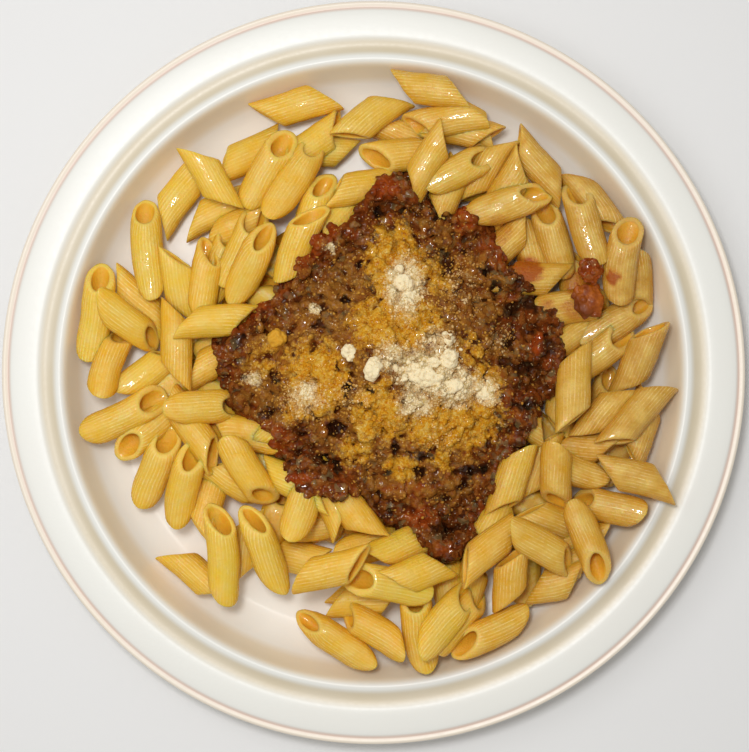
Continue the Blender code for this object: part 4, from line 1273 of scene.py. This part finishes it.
class DISH_OT_ragu(bpy.types.Operator):
    """Build the ragu: the mound, the mince on it and the loose pieces beside it."""

    bl_idname = "dish.ragu"
    bl_label = "Ragu"

    def execute(self, context):
        settings = context.scene.dish_ragu
        tree, finish = grain_tree(), ragu_finish(settings, context.scene.dish_cheese)
        mound = self.mound(settings)
        points = mesh_points(mound)
        up = points[:, 2] > core_surface(np.hypot(points[:, 0], points[:, 1])) + 2.0 * MM
        set_attribute(mound, "amount", up * (1.0 - 0.9 * patch_at(points, "hollow")))
        mince = [grains_on(mound, tree, finish, density, (least, largest), seed, 0.75, 1.3, 2)
                 for (density, least, seed), largest in zip(MINCE, (settings.clump, settings.grain))]
        body = crumbly(joined_mesh("ragu", mound, *mince), settings.cell, MINCE_SKIN, settings.faces)
        set_relief(body)
        points = mesh_points(body)
        for name in PATCHES:
            set_attribute(body, name, patch_at(points, name))
        new_piece("ragu_mound", body, finish, ("ragu",))
        self.loose_piece("mince_clump", "ragu", finish, tree, 0.14, 4)
        self.loose_piece("tomato_piece", "tomato", tomato_finish(), tree, 0.03, 8)
        return {"FINISHED"}

    def mound(self, settings):
        """The mound's bare skin: ragged, lumpy and creased, with hollows, over the penne and the core."""
        angles = np.linspace(0.0, math.tau, settings.steps, endpoint=False)
        ragged = 1.0 + 0.035 * lumps(60.0 * np.cos(angles), 60.0 * np.sin(angles), 6.0, 3.0)
        reach = outline_radius(angles) * ragged
        shares = np.sin(np.linspace(0.02, 1.0, settings.rings) * 0.5 * math.pi)
        x = RAGU_CENTRE[0] + np.outer(shares, reach * np.cos(angles))
        y = RAGU_CENTRE[1] + np.outer(shares, reach * np.sin(angles))
        low = core_surface(np.hypot(x, y)) + 2.0 * GAP
        rounding = np.sqrt(np.clip(1.0 - shares[:, None] ** 26, 0.0, 1.0))
        cover = settled_penne().top(x, y, COVER_SPARE) + LEAST_COVER
        spots = np.column_stack([x.ravel(), y.ravel(), ragu_top(x, y).ravel()])
        relief = sum(height * lumps(x, y, size * MM, seed) for height, size, seed in MOUND_LUMPS)
        depth, sharpness, size, seed = MOUND_CREASES
        relief -= depth * np.clip(1.0 - sharpness * np.abs(lumps(x, y, size * MM, seed)), 0.0, 1.0)
        marks = RED_RISE * patch_at(spots, "red") - HOLLOW_DEPTH * patch_at(spots, "hollow")
        relief += marks.reshape(x.shape)
        top = np.maximum(ragu_top(x, y), cover) + relief * MM
        rings = np.stack([x, y, low + (top - low) * rounding], axis=-1)
        middle = (*RAGU_CENTRE, float(rings[0, :, 2].mean()))
        return ring_mesh("ragu_mound", rings, middle, (*RAGU_CENTRE, FLOOR_HEIGHT + 0.5 * CORE_RISE))

    def loose_piece(self, name, slot, finish, tree, density, seed):
        """A clump of mince or a piece of tomato on the penne."""
        row = ON_PASTA[name]
        place, radii = topping_place(row, settled_penne().crest), [LOOSE_BALL * radius for radius in row[2]]
        ball = lumpy_ball(name, place, radii, row[3], seed)
        set_attribute(ball, "amount", 1.0)
        grains = grains_on(ball, tree, finish, density, LOOSE_RADII, LOOSE_SEED, 0.6, detail=2)
        body = crumbly(joined_mesh(name, ball, grains), SMALL_CELL, LOOSE_SKIN, SMALL_FACES)
        set_relief(body)
        set_attribute(body, "red", 0.7)
        new_piece(name + "_body", body, finish, (name,))


class DISH_OT_cheese(bpy.types.Operator):
    """Build the grated cheese: strewn grains, small piles and nuggets."""

    bl_idname = "dish.cheese"
    bl_label = "Cheese"

    def execute(self, context):
        settings = context.scene.dish_cheese
        finish, tree = cheese_finish(settings), grain_tree()
        bed = bpy.data.objects["ragu_mound"].data.copy()
        upward = np.clip(mesh_points(bed, "normal")[:, 2] * 1.6 - 0.3, 0.0, 1.0)
        points = mesh_points(bed)
        uneven = np.clip(0.7 + 1.2 * lumps(points[:, 0], points[:, 1], 3.0 * MM, 2.0), 0.1, 1.0)
        for seed, (name, kind, density) in enumerate(STREWN, STREWN_SEED):
            amount = np.empty(len(points))
            bed.attributes[kind].data.foreach_get("value", amount)
            set_attribute(bed, "amount", upward * np.clip(amount * uneven, 0.0, 1.0))
            grains = grains_on(bed, tree, finish, density, (LEAST_GRAIN, settings.grain), seed)
            new_piece(name + "_grains", grains, finish)
        for seed, (name, spots) in enumerate(PILES.items()):
            balls = [lumpy_ball(name, topping_place(spot, ragu_top), spot[2], spot[3], seed + 3.7 * index)
                     for index, spot in enumerate(spots)]
            patches = [(x, y, PILE_SPREAD * radii[0], PILE_SPREAD * radii[1], heading, 1.0)
                       for x, y, radii, heading, _ in spots]
            near = patch_amount(seen(points), patches, PILE_EDGE)
            set_attribute(bed, "amount", upward * (near * uneven))
            grains = grains_on(bed, tree, finish, PILE_DENSITY, PILE_GRAINS, PILE_SEED + seed)
            body = crumbly(joined_mesh(name, *balls, grains), PILE_CELL, PILE_SKIN, PILE_FACES)
            self.show(name, body, finish)
        for seed, (name, row) in enumerate(NUGGETS.items(), len(PILES)):
            ball = lumpy_ball(name, topping_place(row, ragu_top), row[2], row[3], seed)
            self.show(name, crumbly(ball, SMALL_CELL, NUGGET_SKIN, SMALL_FACES), finish)
        bpy.data.meshes.remove(bed)
        return {"FINISHED"}

    def show(self, name, mesh, finish):
        """Add a pile or a nugget as a piece; only the chunk is golden all through."""
        set_relief(mesh)
        for attribute, amount in (("tone", 0.5), ("gold", 1.0), ("cream", float(name != "cheese_chunk"))):
            set_attribute(mesh, attribute, amount)
        new_piece(name + "_body", mesh, finish, (name,))


class DISH_OT_stage(bpy.types.Operator):
    """Set up the floor, the lights and the camera."""

    bl_idname = "dish.stage"
    bl_label = "Stage"

    def execute(self, context):
        settings = context.scene.dish_stage
        scene = context.scene
        scene.view_settings.view_transform = "Standard"
        bm = bmesh.new()
        bmesh.ops.create_grid(bm, x_segments=1, y_segments=1, size=3.0)
        mesh = bpy.data.meshes.new("floor")
        bm.to_mesh(mesh)
        bm.free()
        look = Finish("floor")
        mesh.materials.append(look.finish(base_color=(0.88, 0.88, 0.88, 1.0), roughness=0.9))
        floor = linked("floor", mesh)
        floor.location.z = -0.3 * MM

        world = bpy.data.worlds.new("studio")
        world.use_nodes = True
        background = world.node_tree.nodes["Background"]
        background.inputs["Color"].default_value = (1.0, 0.975, 0.93, 1.0)
        background.inputs["Strength"].default_value = settings.fill
        scene.world = world
        for name, size, power, place in (("key", 0.1, settings.key_power, (-0.06, 0.08, 0.64)),
                                         ("side", 0.5, settings.side_power, (-0.26, 0.12, 0.66))):
            lamp = bpy.data.lights.new(name, "AREA")
            lamp.size = size
            lamp.energy = power
            lit = linked(name, lamp)
            lit.location = place
            lit.rotation_euler = (-Vector(place)).to_track_quat("-Z", "Y").to_euler()

        lens = bpy.data.cameras.new("camera")
        lens.sensor_fit = "HORIZONTAL"
        lens.sensor_width = SENSOR_WIDTH
        lens.lens = SENSOR_WIDTH * (settings.camera_height - RIM_HEIGHT) / (PHOTO_WIDTH * PIXEL)
        camera = linked("camera", lens)
        camera.location = (*CAMERA_PLACE, settings.camera_height)
        scene.camera = camera
        return {"FINISHED"}


class DISH_PT_panel(bpy.types.Panel):
    """The pieces of the dish."""

    bl_idname = "DISH_PT_panel"
    bl_label = "Pasta with Duck Ragu"
    bl_space_type = "VIEW_3D"
    bl_region_type = "UI"
    bl_category = "Dish"

    def draw(self, context):
        for operator, name, _ in STEPS:
            box = self.layout.box()
            box.operator(operator.bl_idname)
            settings = getattr(context.scene, name)
            for key in settings.__annotations__:
                box.prop(settings, key)


STEPS = (
    (DISH_OT_plate, "dish_plate", DishPlateSettings), (DISH_OT_penne, "dish_penne", DishPenneSettings),
    (DISH_OT_ragu, "dish_ragu", DishRaguSettings), (DISH_OT_cheese, "dish_cheese", DishCheeseSettings),
    (DISH_OT_stage, "dish_stage", DishStageSettings),
)


def register():
    for operator, name, group in STEPS:
        bpy.utils.register_class(group)
        setattr(bpy.types.Scene, name, PointerProperty(type=group))
        bpy.utils.register_class(operator)
    bpy.utils.register_class(DISH_PT_panel)


def unregister():
    bpy.utils.unregister_class(DISH_PT_panel)
    for operator, name, group in STEPS:
        bpy.utils.unregister_class(operator)
        delattr(bpy.types.Scene, name)
        bpy.utils.unregister_class(group)


def main():
    register()
    bpy.ops.dish.plate()
    bpy.ops.dish.penne()
    bpy.ops.dish.ragu()
    bpy.ops.dish.cheese()
    bpy.ops.dish.stage()


if __name__ == "__main__":
    main()
